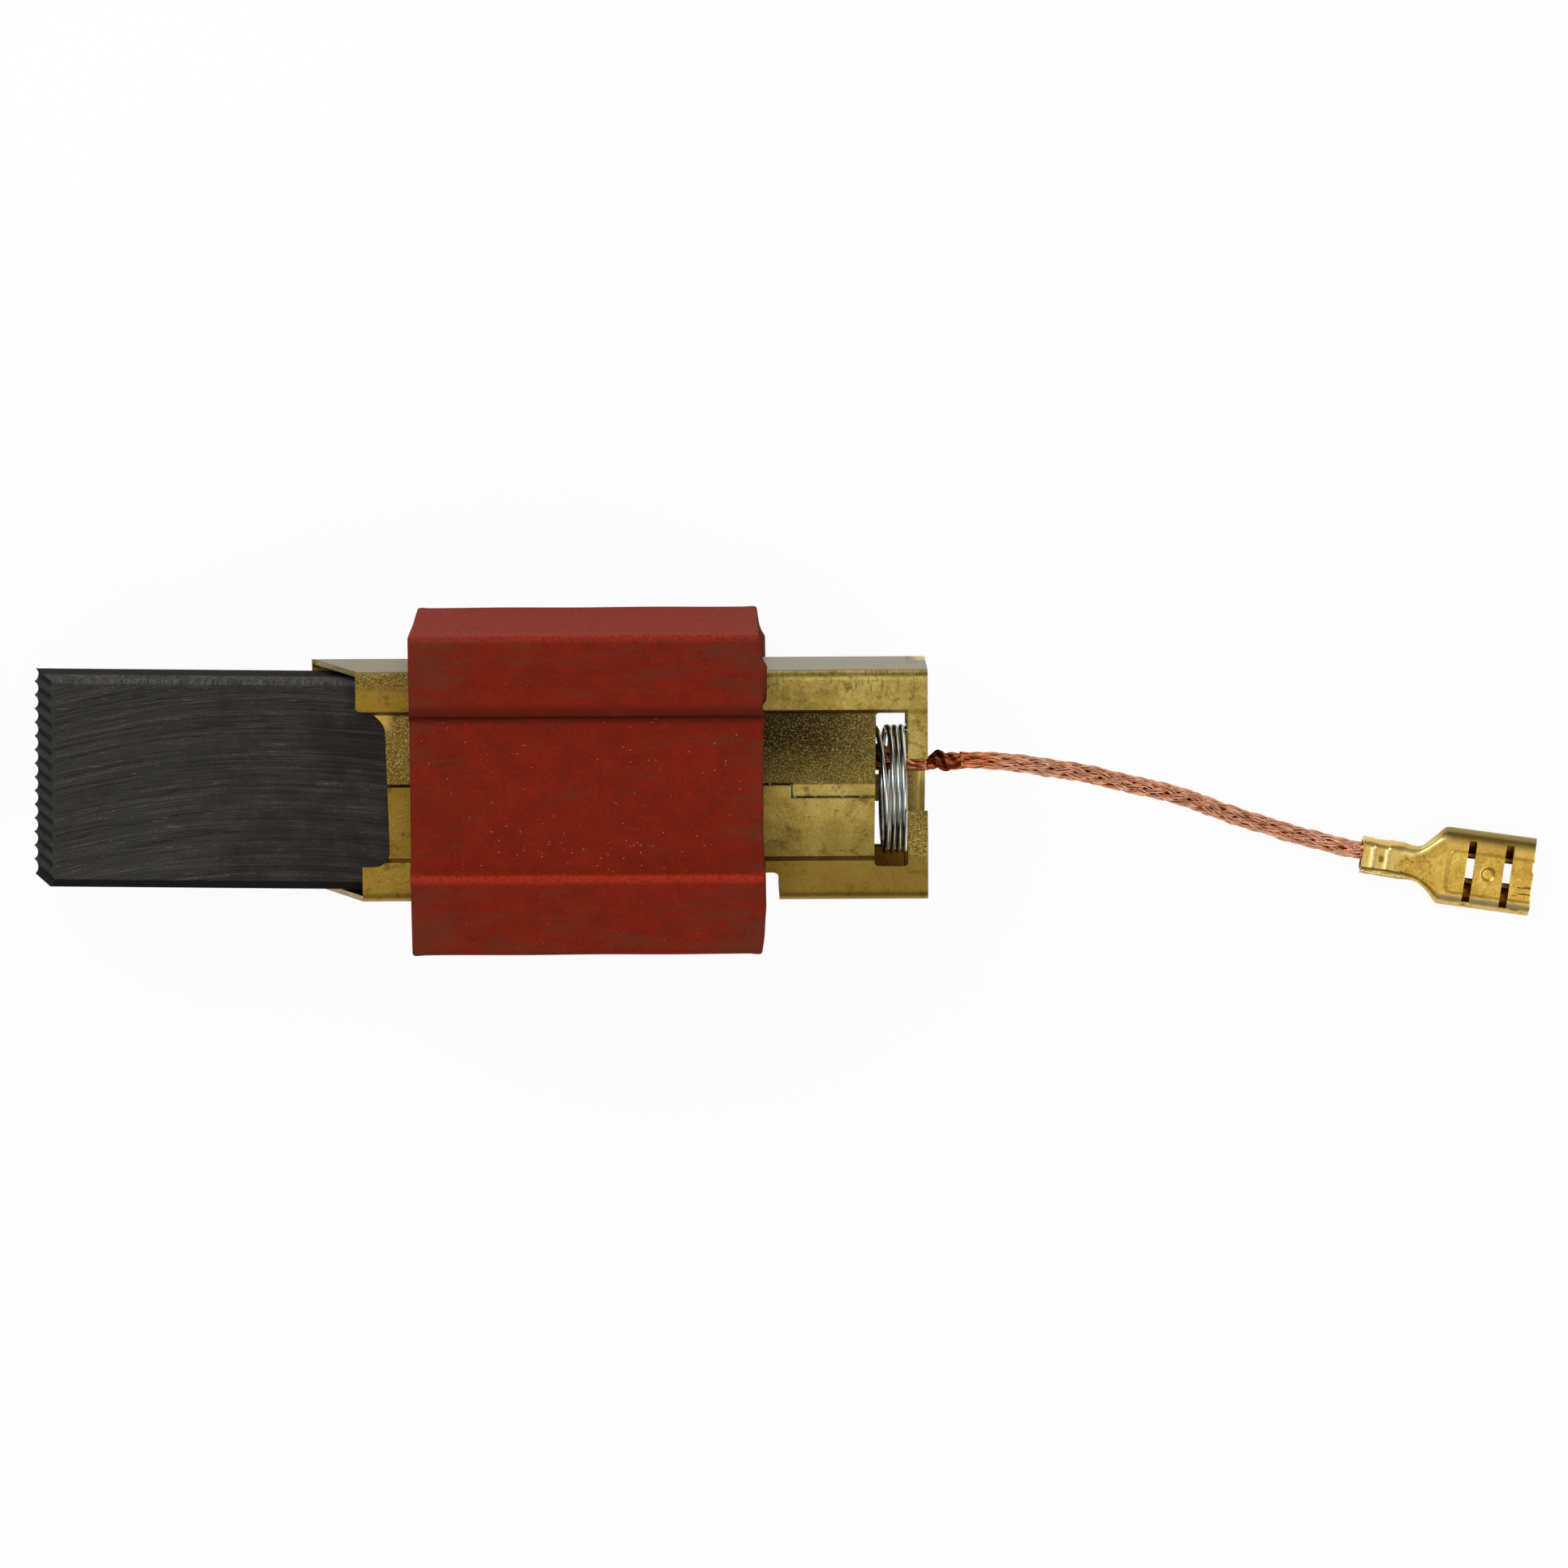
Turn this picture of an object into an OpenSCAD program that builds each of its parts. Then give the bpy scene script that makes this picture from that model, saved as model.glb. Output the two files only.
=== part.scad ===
// Carbon brush in a brass holder, with its spring, braided lead and push-on terminal.
// Millimetres. +X runs from the contact face to the lead, +Y across the wide side of the
// carbon, +Z up. The part lies on the back face of its insulating sleeve, at z = 0, and the
// axis of the holder is at y = 0. x = 0 is halfway from the contact face to the holder's end.

/* [Carbon] */
// Thickness of the carbon block
carbon_t = 10; // [9.6:0.1:10.1]
// Width of the carbon block
carbon_w = 16; // [15.5:0.1:16.1]
// Length of the carbon block
carbon_len = 40; // [34:0.5:42]
// Chamfer along the long edges
carbon_chamfer = 0.6; // [0.3:0.1:1]
// Slope of the contact face
contact_slope = 11.5; // [0:0.5:15]
// Ribs across the contact face
rib_count = 15; // [8:1:18]
// Depth of the grooves between the ribs
rib_depth = 0.3; // [0.1:0.05:0.4]
// Turn of the block in its guide, which has some play
carbon_skew = 0.8; // [0:0.1:0.9]

/* [Holder] */
// Thickness of the brass sheet
sheet = 0.4; // [0.3:0.05:0.5]
// Outer width of the folded tube
holder_w = 17.7; // [17.6:0.1:18]
// Outer depth of the folded tube
holder_d = 12.2; // [12.1:0.1:12.6]
// Outer radius of the four folds
fold_r = 0.8; // [0.6:0.1:1]
// How far the middle bands are pressed in
band_step = 0.5; // [0.3:0.05:0.55]
// Width of the window that shows the spring's last turns
window_len = 2.45; // [2:0.05:3]
// Width of the straps behind the window
strap_len = 1.5; // [1:0.1:2]

/* [Sleeve] */
// Length of the insulating sleeve
sleeve_len = 26.7; // [20:0.1:30]
// Width of the sleeve
sleeve_w = 24.4; // [22:0.1:27]
// Depth of the sleeve
sleeve_d = 26; // [22:0.1:27]
// Depth of the panels between the raised rails
panel_depth = 0.7; // [0.3:0.1:1.2]

/* [Spring] */
// Outer diameter of the spring
spring_od = 10; // [9.4:0.1:10.1]
// Diameter of the spring wire
spring_wire = 0.45; // [0.4:0.05:0.6]
// Turns that work
live_turns = 7; // [5:1:9]
// Closed turns at the window
dead_turns = 4; // [2:1:4]

/* [Lead] */
// Diameter of the copper braid
braid_d = 1.5; // [1.2:0.1:1.7]
// Width of the push-on terminal
terminal_w = 6.1; // [5.6:0.1:6.4]
// Height of the push-on terminal
terminal_h = 2.3; // [2:0.1:2.5]
// Thickness of the terminal's sheet
terminal_sheet = 0.35; // [0.3:0.05:0.4]

/* [Hidden] */
$fn = 48;
eps = 0.01;
axis_z = sleeve_d / 2;
far = 40;                                       // longer than anything it cuts

// Stations along X
holder_end = 34.64;
contact_x = -34.53;                             // the block's skew brings its corner to -34.64
window_end = holder_end - strap_len;
window_start = window_end - window_len;
carbon_back = contact_x + carbon_len;
sleeve_x = -4.7;
mouth_front = -8.75;                            // the block turns in its guide about here
mouth_upper = -9.13;                            // front corners of the two side walls
mouth_lower = -8.69;
mouth_back = -12.9;
notch_x = 22.02;
notch_len = 1.22;
notch_h = 2.15;
notch_r = 0.5;

// The tube's section
half_w = holder_w / 2;
half_d = holder_d / 2;
band_half = 5.5;                                // half the width of a pressed band
band_slope = 0.3;                               // width of the slope down to it
seam_gap = 0.12;
seam_y = 0;
seam_jog_x = 24.3;
seam_jog = 1.0;

// Straps behind the window
finger_top = 2.0;
finger_low = -2.12;
press_in = 1.8;                                 // how far the spring's seats are pressed in
pressed_half = 4.5;                             // half the width that is pressed
window_half = 5.5;
window_low = -6.27;                             // the front window runs into the lower rail
window_slant = 0.18;
window_r = [0.25, 0.35];                        // upper and lower corners
back_window_low = -5.86;
tongue_len = 0.9;
tongue = [-2.44, -0.35];

// Braid
spring_y = -0.9;                                // the spring lies low in the wide tube
spring_r = (spring_od - spring_wire) / 2;
plug_r = 1.7;
plug_len = 7;
plug_recess = 0.3;
plug_face = carbon_back - plug_recess;
knot_x = holder_end + 0.1;
knot_len = 2.4;
knot_y = 1.3;
knot_rise = 0.3;                                // how much higher the lead leaves the knot
knot_z = 16.5;
knot_r = 1.15;

// Terminal
terminal_pos = [69.1, -7.55, 0];
terminal_turn = -8.1;
barrel_len = 3.9;
barrel_w = 2.9;
box_start = 6.3;
terminal_len = 13.5;
curl_r = terminal_h / 2;
socket_depth = 1;
socket_r = 0.85;
socket_y = 0.3;                                 // the braid is crimped off the middle
tab_gap = 0.8;
slot_w = 0.62;
slots = [[8.5, -2.55, 2.0], [11.45, -2.3, 2.05]];    // place and the ends' centres

// The free lead, from the knot to the terminal
LEAD_PATH = [
    [knot_x + knot_len, knot_y + knot_rise, knot_z], [38.2, 1.6, knot_z], [39.9, 1.5, 16.2],
    [42, 1.2, 15.5], [43.9, 0.8, 14.5], [47, 0.1, 12.4], [50.1, -0.9, 10], [53.3, -1.9, 7.3],
    [55.7, -2.8, 5.5], [57.7, -3.7, 4.1], [59.7, -4.5, 3], [61.7, -5.2, 2.2], [63.7, -5.9, 1.7],
    [65.7, -6.45, 1.35], [67.6, -7, 1.2], [69.1, -7.27, 1.15], [69.9, -7.38, 1.15]
];
// The braid inside the spring, from the tamped plug to the knot
INNER_PATH = [
    [plug_face, -0.15, axis_z], [plug_face + 1.5, -0.15, axis_z], [9, -0.6, 12.6],
    [13, -1.2, 12.2], [17, -0.9, 12.6], [21, 0.1, 13.4], [25, 1.2, 14.4], [29, 1.85, 15.1],
    [31.5, 1.7, 15.4], [33.4, 1.25, 15.9], [34.2, knot_y, 16.3], [knot_x, knot_y, knot_z]
];

// ---- Sweeps ----

function unit(v) = v / norm(v);
function tangent(path, i) =
    unit(path[min(i + 1, len(path) - 1)] - path[max(i - 1, 0)]);
function side_of(t) = unit(cross([0, 0, 1], t));

// One ring of a tube about a point, square to the tangent
function ring(p, t, r, sides) = let (s = side_of(t), u = cross(t, s))
    [for (k = [0 : sides - 1]) p + r * (cos(360 * k / sides) * s + sin(360 * k / sides) * u)];

// Points on a smooth curve through a path's points
function curve(path, steps) = [
    for (i = [0 : len(path) - 2], k = [0 : steps - 1])
        let (a = path[max(i - 1, 0)], b = path[i], c = path[i + 1],
             d = path[min(i + 2, len(path) - 1)], t = k / steps)
        0.5 * (2 * b + (c - a) * t + (2 * a - 5 * b + 4 * c - d) * t * t
               + (3 * b - a - 3 * c + d) * t * t * t),
    path[len(path) - 1]
];

module skin(rings) {
    n = len(rings[0]);
    last = len(rings) - 1;
    polyhedron(
        [for (one = rings) each one],
        [
            [for (k = [0 : n - 1]) k],
            [for (k = [0 : n - 1]) last * n + n - 1 - k],
            for (i = [0 : last - 1], k = [0 : n - 1]) let (m = (k + 1) % n)
                each [
                    [i * n + k, (i + 1) * n + k, (i + 1) * n + m],
                    [i * n + k, (i + 1) * n + m, i * n + m]
                ]
        ]
    );
}

module tube(path, r, sides = 8) {
    skin([for (i = [0 : len(path) - 1]) ring(path[i], tangent(path, i), r, sides)]);
}

// ---- Flat shapes ----

module rounded(w, h, r) {
    square([w - 2 * r, h], center = true);
    square([w, h - 2 * r], center = true);
    for (sx = [-1, 1], sy = [-1, 1])
        translate([sx * (w / 2 - r), sy * (h / 2 - r)]) circle(r);
}

// Section of the tube, drawn in Y and Z, moved inwards by inset
module tube_section(inset) {
    shift = inset * tan(atan2(band_step, band_slope) / 2);
    difference() {
        rounded(holder_w - 2 * inset, holder_d - 2 * inset, fold_r - inset);
        for (s = [-1, 1]) polygon([
            [-band_half - band_slope - shift, s * (half_d - inset)],
            [-band_half - band_slope - shift, s * far],
            [band_half + band_slope + shift, s * far],
            [band_half + band_slope + shift, s * (half_d - inset)],
            [band_half + shift, s * (half_d - band_step - inset)],
            [-band_half - shift, s * (half_d - band_step - inset)]
        ]);
    }
}

// Extrudes a shape drawn in Y and Z along X
module along_x(from, to) {
    translate([from, 0, axis_z]) rotate([90, 0, 90]) linear_extrude(to - from) children();
}

// ---- Brush ----

// The block sits slightly askew in the guide; x and y are the block's own
module in_guide() {
    translate([mouth_front, 0, 0]) rotate([0, 0, -carbon_skew])
        translate([-mouth_front, 0, 0]) children();
}

// Section of the block, drawn in Y and Z
module block_section() {
    w = carbon_w / 2;
    t = carbon_t / 2;
    c = carbon_chamfer;
    polygon([[w, t - c], [w - c, t], [c - w, t], [-w, t - c],
             [-w, c - t], [c - w, -t], [w - c, -t], [w, c - t]]);
}

module carbon_block() {
    pitch = carbon_w / rib_count;
    groove_r = (pitch * pitch / 4 + rib_depth * rib_depth) / (2 * rib_depth);
    color("#2f2d2c") in_guide() difference() {
        along_x(contact_x, carbon_back) block_section();
        // sloped contact face, with a groove between each two ribs
        translate([contact_x, 0, axis_z - carbon_t / 2]) rotate([0, contact_slope, 0]) {
            translate([-far, -far / 2, -far / 2]) cube(far);
            for (i = [0 : rib_count - 1])
                translate([rib_depth - groove_r, (i + 0.5 - rib_count / 2) * pitch, -far / 2])
                    cylinder(h = far, r = groove_r, $fn = 64);
        }
        // seat of the tamped plug
        translate([carbon_back - plug_len, 0, axis_z]) rotate([0, 90, 0])
            cylinder(h = far, r = plug_r);
    }
}

module tamped_plug() {
    color("#6b4630") in_guide()
        translate([carbon_back - plug_len, 0, axis_z]) rotate([0, 90, 0])
            cylinder(h = plug_len - plug_recess, r = plug_r);
}

module inner_shunt() {
    color("#a05a3c") tube(curve(INNER_PATH, 3), braid_d / 2);
}

// The knot's two lobes: the braid swells and swings to one side, then to the other
module shunt_knot() {
    steps = 14;
    points = [for (i = [0 : steps]) let (t = i / steps, swing = sin(360 * t) * sin(180 * t))
        [knot_x + t * knot_len, knot_y + knot_rise * t + 0.5 * swing, knot_z + 0.35 * swing]];
    color("#a05a3c") skin([for (i = [0 : steps]) let (t = i / steps)
        ring(points[i], [1, 0, 0], braid_d / 2 + (knot_r - braid_d / 2) * sqrt(sin(180 * t)), 12)]);
}

module shunt_lead() {
    color("#be7355") tube(curve(LEAD_PATH, 3), braid_d / 2);
}

// ---- Terminal ----

// Section of one curled flange, drawn in Y and Z: it rolls out, under and back up
module curl_section() {
    difference() {
        circle(curl_r);
        circle(curl_r - terminal_sheet);
        translate([-far, 0]) square(far);
    }
}

// Edge of the neck, which flares from the barrel to the box
module neck_flare(side, r) {
    run = box_start - barrel_len;
    rise = (terminal_w - barrel_w) / 2;
    flare_r = (run * run + rise * rise) / (2 * rise);
    translate([barrel_len, side * (barrel_w / 2 + flare_r)]) circle(flare_r - r, $fn = 64);
}

module push_on_terminal() {
    curl_y = terminal_w / 2 - curl_r;
    floor_z = terminal_h - terminal_sheet;
    color("#c8a546") translate(terminal_pos) rotate([0, 0, terminal_turn]) {
        difference() {
            union() {
                // floor of the box and its two curled flanges
                translate([box_start, -curl_y, floor_z])
                    cube([terminal_len - box_start, 2 * curl_y, terminal_sheet]);
                for (s = [0, 1]) mirror([0, s, 0]) translate([box_start, curl_y, curl_r])
                    rotate([90, 0, 90]) linear_extrude(terminal_len - box_start) curl_section();
            }
            // springy slots across the floor
            for (slot = slots) translate([slot[0], 0, curl_r + tab_gap - 0.4]) {
                translate([-slot_w / 2, slot[1], 0]) cube([slot_w, slot[2] - slot[1], far]);
                for (y = [slot[1], slot[2]]) translate([0, y, 0])
                    cylinder(h = far, r = slot_w / 2);
            }
            // shallow dimple between the slots
            translate([(slots[0][0] + slots[1][0]) / 2, 0, terminal_h + 0.9]) sphere(1.05);
        }
        // neck: floor and folded sides
        translate([0, 0, floor_z]) linear_extrude(terminal_sheet) difference() {
            translate([barrel_len - eps, -terminal_w / 2])
                square([box_start - barrel_len + 2 * eps, terminal_w]);
            for (s = [-1, 1]) neck_flare(s, 0);
        }
        translate([0, 0, 0.5]) linear_extrude(floor_z - 0.4) intersection() {
            translate([barrel_len - eps, -terminal_w / 2])
                square([box_start - barrel_len + 2 * eps, terminal_w]);
            difference() {
                for (s = [-1, 1]) neck_flare(s, -terminal_sheet);
                for (s = [-1, 1]) neck_flare(s, 0);
            }
        }
        // crimped barrel with the socket that holds the braid
        difference() {
            translate([0, 0, curl_r]) rotate([90, 0, 90]) linear_extrude(barrel_len)
                rounded(barrel_w, terminal_h, curl_r - 0.05);
            translate([-eps, socket_y, curl_r]) rotate([0, 90, 0])
                cylinder(h = socket_depth + eps, r = socket_r);
        }
    }
}

// ---- Holder ----

// How far a strap is pressed into the tube, at a place across it
function pressed(y) =
    abs(y) < pressed_half ? press_in * (1 + cos(180 * y / pressed_half)) / 2 : 0;

// Section of a pressed strap, drawn in Y and Z with the outer face of the tube at y = 0
module pressed_strap(from, to) {
    steps = 24;
    across = [for (i = [0 : steps]) from + (to - from) * i / steps];
    polygon([
        for (y = across) [y, pressed(y)],
        for (i = [steps : -1 : 0]) [across[i], pressed(across[i]) + sheet]
    ]);
}

// Section of the straps: two fingers in front with a gap for the braid, one strap behind
module strap_section() {
    reach = pressed_half + 0.5;
    difference() {
        rounded(holder_w, holder_d, fold_r);
        rounded(holder_w - 2 * sheet, holder_d - 2 * sheet, fold_r - sheet);
        translate([-pressed_half, half_d - fold_r])
            square([pressed_half + finger_top, 2 * fold_r]);
        translate([-pressed_half, -half_d - fold_r]) square([2 * pressed_half, 2 * fold_r]);
    }
    translate([0, -half_d]) pressed_strap(-reach, reach);
    translate([0, half_d]) mirror([0, 1]) pressed_strap(-reach, finger_low);
}

// Outline of the front wall's mouth, drawn in X and Y, with a generous radius in each corner
module mouth_outline() {
    polygon([[mouth_back, 5.95], [-8.33, 5.83], [-6.9, 4.4], [-6.6, -4.98], [-7.72, -6.1],
             [mouth_back, -6.3]]);
    translate([-8.33, 4.4]) circle(1.43);
    translate([-7.72, -4.98]) circle(1.12);
}

// Outline of the front wall's window, drawn in X and Y
module window_outline() {
    left = window_start - window_slant;
    polygon([
        [window_start, window_half - window_r[0]], [window_start + window_r[0], window_half],
        [window_end - window_r[0], window_half], [window_end, window_half - window_r[0]],
        [window_end, window_low + window_r[1]], [window_end - window_r[1], window_low],
        [left + window_r[1], window_low], [left, window_low + window_r[1]]
    ]);
    for (x = [window_start + window_r[0], window_end - window_r[0]])
        translate([x, window_half - window_r[0]]) circle(window_r[0]);
    for (x = [left + window_r[1], window_end - window_r[1]])
        translate([x, window_low + window_r[1]]) circle(window_r[1]);
}

// Outline of the relief notch through the lower fold, drawn in X and Y
module notch_outline() {
    top = notch_h - half_w;
    translate([notch_x, top - far]) square([notch_len, far - notch_r]);
    translate([notch_x, top - far]) square([notch_len - notch_r, far]);
    translate([notch_x + notch_len - notch_r, top - notch_r]) circle(notch_r);
}

module brush_holder() {
    front_z = axis_z + half_d;
    color("#968240") {
        difference() {
            along_x(mouth_back, window_end) difference() {
                tube_section(0);
                tube_section(sheet);
            }
            // side walls slope from the front wall's mouth to the back wall's
            for (corner = [[far, mouth_upper], [0, mouth_lower]])
                translate([0, corner[0], 0]) rotate([90, 0, 0]) linear_extrude(far) polygon([
                    [mouth_back - 1, axis_z - half_d + fold_r],
                    [mouth_back + 0.2, axis_z - half_d + fold_r],
                    [corner[1], front_z - fold_r], [corner[1], far], [mouth_back - 1, far]
                ]);
            translate([0, 0, axis_z]) linear_extrude(far) mouth_outline();
            // seam where the sheet's two edges meet, with the jog that locks it
            translate([0, 0, axis_z]) linear_extrude(far) {
                translate([mouth_back, seam_y]) square([seam_jog_x - mouth_back, seam_gap]);
                translate([seam_jog_x - seam_gap, seam_y - seam_jog])
                    square([seam_gap, seam_jog + seam_gap]);
                translate([seam_jog_x - eps, seam_y - seam_jog]) square([far, seam_gap]);
            }
            translate([0, 0, axis_z - far / 2]) linear_extrude(far) notch_outline();
            translate([0, 0, axis_z]) linear_extrude(far) window_outline();
            // window in the back wall
            translate([window_start, back_window_low, axis_z - far])
                cube([window_len, window_half - back_window_low, far]);
        }
        // tongue of the back wall in its window
        translate([window_start - eps, tongue[0], axis_z - half_d + band_step])
            cube([tongue_len, tongue[1] - tongue[0], sheet]);
        along_x(window_end - eps, holder_end) strap_section();
    }
}

// ---- Sleeve ----

module insulating_sleeve() {
    panel_half = 5.95;
    color("#7a1e12") difference() {
        along_x(sleeve_x, sleeve_x + sleeve_len) difference() {
            rounded(sleeve_w, sleeve_d, 0.5);
            for (s = [-1, 1]) polygon([
                [-panel_half - 0.1, s * far], [panel_half + 0.1, s * far],
                [panel_half + 0.1, s * sleeve_d / 2],
                [panel_half - 0.1, s * (sleeve_d / 2 - panel_depth)],
                [0.1 - panel_half, s * (sleeve_d / 2 - panel_depth)],
                [-panel_half - 0.1, s * sleeve_d / 2]
            ]);
        }
        along_x(sleeve_x - 1, sleeve_x + sleeve_len + 1) rounded(holder_w, holder_d, fold_r);
    }
}

// ---- Spring ----

module brush_spring() {
    closed = spring_wire + 0.03;                // pitch of the closed turns
    lean = 0.15;                                // how far the closed turns' fronts lean
    first = carbon_back + spring_wire / 2 + 0.1;
    last = window_end - spring_wire / 2 - 0.1 - lean;
    live = (last - first - closed * dead_turns) / live_turns;
    turns = 1 + live_turns + dead_turns - 0.25;
    per_turn = 18;
    rings = [for (i = [0 : floor(turns * per_turn)])
        let (n = i / per_turn, a = 360 * n,
             x = first + closed * min(n, 1) + live * min(max(n - 1, 0), live_turns)
                 + closed * max(n - 1 - live_turns, 0),
             tip = lean * cos(a) * min(max((n - live_turns) / 2, 0), 1),
             out = [0, -sin(a), cos(a)])
        [for (k = [0 : 7]) [x + tip, spring_y, axis_z] + spring_r * out
            + spring_wire / 2 * (cos(45 * k) * out + sin(45 * k) * [1, 0, 0])]];
    color("silver") skin(rings);
}

carbon_block();
tamped_plug();
brush_holder();
insulating_sleeve();
brush_spring();
inner_shunt();
shunt_knot();
shunt_lead();
push_on_terminal();
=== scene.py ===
"""Carbon brush in a folded brass holder, dressed for the studio.

Everything is in metres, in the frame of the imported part: +X from the contact face to the
lead, +Y across the wide side of the carbon, +Z up from the table.
"""

import math
import random
from contextlib import contextmanager
from functools import partial

import bmesh
import bpy
import numpy as np
from bpy.props import FloatProperty, FloatVectorProperty, IntProperty, PointerProperty
from mathutils import Matrix, Vector


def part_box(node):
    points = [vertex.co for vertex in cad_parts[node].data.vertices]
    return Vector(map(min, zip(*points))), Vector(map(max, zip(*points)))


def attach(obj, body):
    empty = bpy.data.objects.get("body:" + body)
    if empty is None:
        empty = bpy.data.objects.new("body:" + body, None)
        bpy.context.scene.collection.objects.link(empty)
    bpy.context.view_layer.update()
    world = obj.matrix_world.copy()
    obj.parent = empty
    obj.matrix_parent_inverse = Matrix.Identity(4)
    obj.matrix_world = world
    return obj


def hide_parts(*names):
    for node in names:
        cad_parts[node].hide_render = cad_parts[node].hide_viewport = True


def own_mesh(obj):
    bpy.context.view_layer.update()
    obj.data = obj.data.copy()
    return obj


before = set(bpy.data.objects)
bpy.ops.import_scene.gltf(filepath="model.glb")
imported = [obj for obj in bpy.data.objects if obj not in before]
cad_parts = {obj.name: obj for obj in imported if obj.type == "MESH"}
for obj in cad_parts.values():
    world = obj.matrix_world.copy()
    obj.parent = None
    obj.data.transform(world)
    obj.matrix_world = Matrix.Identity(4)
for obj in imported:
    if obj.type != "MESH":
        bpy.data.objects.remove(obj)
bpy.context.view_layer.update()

bl_info = {
    "name": "Carbon Brush",
    "version": (1, 0, 0),
    "blender": (4, 5, 0),
    "location": "View3D > Sidebar > Carbon Brush",
    "description": "Models a carbon brush with its holder, sleeve, spring, lead and terminal",
    "category": "Add Mesh",
}

MM = 0.001

# Edges steeper than this, in degrees, stay sharp in shading
SHARP = 40

# ---- Places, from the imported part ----

HOLDER_LOW, HOLDER_HIGH = (Vector(c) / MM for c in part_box("brush_holder"))
SLEEVE_LOW, SLEEVE_HIGH = (Vector(c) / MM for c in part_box("insulating_sleeve"))
SPRING_START = (Vector(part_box("brush_spring")[0]) / MM).x
AXIS_Z = (HOLDER_LOW.z + HOLDER_HIGH.z) / 2
HALF_W = (HOLDER_HIGH.y - HOLDER_LOW.y) / 2
HALF_D = (HOLDER_HIGH.z - HOLDER_LOW.z) / 2
HOLDER_END = HOLDER_HIGH.x
KNOT_START = HOLDER_END + 0.1
KNOT_END = KNOT_START + 2.4
KNOT_Y, KNOT_Z = 1.3, 16.5
# Where the terminal starts, in X and Y, and its turn in degrees
TERMINAL_PLACE, TERMINAL_TURN = (69.1, -7.55), -8.1

# The lead's route, as the part has it, in millimetres
LEAD_PATH = [
    (KNOT_END, 1.6, KNOT_Z), (38.2, 1.6, KNOT_Z), (39.9, 1.5, 16.2), (42, 1.2, 15.5),
    (43.9, 0.8, 14.5), (47, 0.1, 12.4), (50.1, -0.9, 10), (53.3, -1.9, 7.3), (55.7, -2.8, 5.5),
    (57.7, -3.7, 4.1), (59.7, -4.5, 3), (61.7, -5.2, 2.2), (63.7, -5.9, 1.7),
    (65.7, -6.45, 1.35), (67.6, -7, 1.2), (69.1, -7.27, 1.15), (69.9, -7.38, 1.15),
]
# The braid inside the spring, from the tamped plug to the knot
PLUG_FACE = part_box("tamped_plug")[1][0] / MM
INNER_PATH = [
    (PLUG_FACE, -0.15, AXIS_Z), (PLUG_FACE + 1.5, -0.15, AXIS_Z), (9, -0.6, 12.6),
    (13, -1.2, 12.2), (17, -0.9, 12.6), (21, 0.1, 13.4), (25, 1.2, 14.4), (29, 1.85, 15.1),
    (31.5, 1.7, 15.4), (33.4, 1.25, 15.9), (34.2, KNOT_Y, 16.3), (KNOT_START, KNOT_Y, KNOT_Z),
]
# The knot's middle, and how far its bundles lie from it and the first one's angle
KNOT_STATIONS = [
    (KNOT_START - 0.12, 1.42, 0.12, 60), (34.95, 1.6, 0.32, 40), (35.35, 1.7, 0.38, -5),
    (35.8, 1.6, 0.37, -60), (36.3, 1.47, 0.36, -120), (36.8, 1.52, 0.3, -170),
    (KNOT_END + 0.3, 1.6, 0.24, -200),
]


# ---- Small tools ----

def linear(code):
    """The linear colour of an sRGB hex code such as "#7a1e12"."""
    parts = [int(code[i:i + 2], 16) / 255 for i in (1, 3, 5)]
    return tuple(c / 12.92 if c <= 0.04045 else ((c + 0.055) / 1.055) ** 2.4 for c in parts) + (1,)


def deselect():
    if bpy.context.mode != "OBJECT":
        bpy.ops.object.mode_set(mode="OBJECT")
    bpy.ops.object.select_all(action="DESELECT")


def activate(obj):
    deselect()
    obj.select_set(True)
    bpy.context.view_layer.objects.active = obj


@contextmanager
def editing(obj):
    """Edit mode on the whole of an object's mesh."""
    activate(obj)
    bpy.ops.object.mode_set(mode="EDIT")
    bpy.ops.mesh.select_all(action="SELECT")
    yield
    bpy.ops.object.mode_set(mode="OBJECT")


def named(name):
    """Names the object just added and brings its place into its mesh."""
    obj = bpy.context.object
    obj.name = obj.data.name = name
    activate(obj)
    bpy.ops.object.transform_apply(location=True, rotation=True, scale=True)
    return obj


def modify(obj, kind, **settings):
    """Adds a modifier and applies it."""
    activate(obj)
    modifier = obj.modifiers.new(kind.lower(), kind)
    for key, value in settings.items():
        setattr(modifier, key, value)
    bpy.ops.object.modifier_apply(modifier=modifier.name)


def cut(obj, cutter, operation="DIFFERENCE"):
    """Cuts obj with another object, which goes."""
    modify(obj, "BOOLEAN", operation=operation, object=cutter, solver="EXACT")
    bpy.data.objects.remove(cutter)


def block(low, high, rounding=0):
    """A box between two corners in millimetres, with its upright edges rounded."""
    low, high = Vector(low), Vector(high)
    deselect()
    bpy.ops.mesh.primitive_cube_add(size=1, location=(low + high) / 2 * MM, scale=(high - low) * MM)
    obj = named("block")
    if rounding:
        with editing(obj):
            mesh = bmesh.from_edit_mesh(obj.data)
            for edge in mesh.edges:
                run = edge.verts[1].co - edge.verts[0].co
                edge.select_set(abs(run.z) > 0.5 * run.length)
            bmesh.update_edit_mesh(obj.data)
            bpy.ops.mesh.bevel(offset=rounding * MM, segments=6)
    return obj


def grid(name, columns, rows, place):
    """A sheet of quads whose point at column i and row j lies at place(i, j), in millimetres."""
    deselect()
    bpy.ops.mesh.primitive_grid_add(x_subdivisions=columns, y_subdivisions=rows, size=1)
    obj = named(name)
    for j in range(rows + 1):
        for i in range(columns + 1):
            obj.data.vertices[j * (columns + 1) + i].co = Vector(place(i, j)) * MM
    obj.data.update()
    return obj


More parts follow.
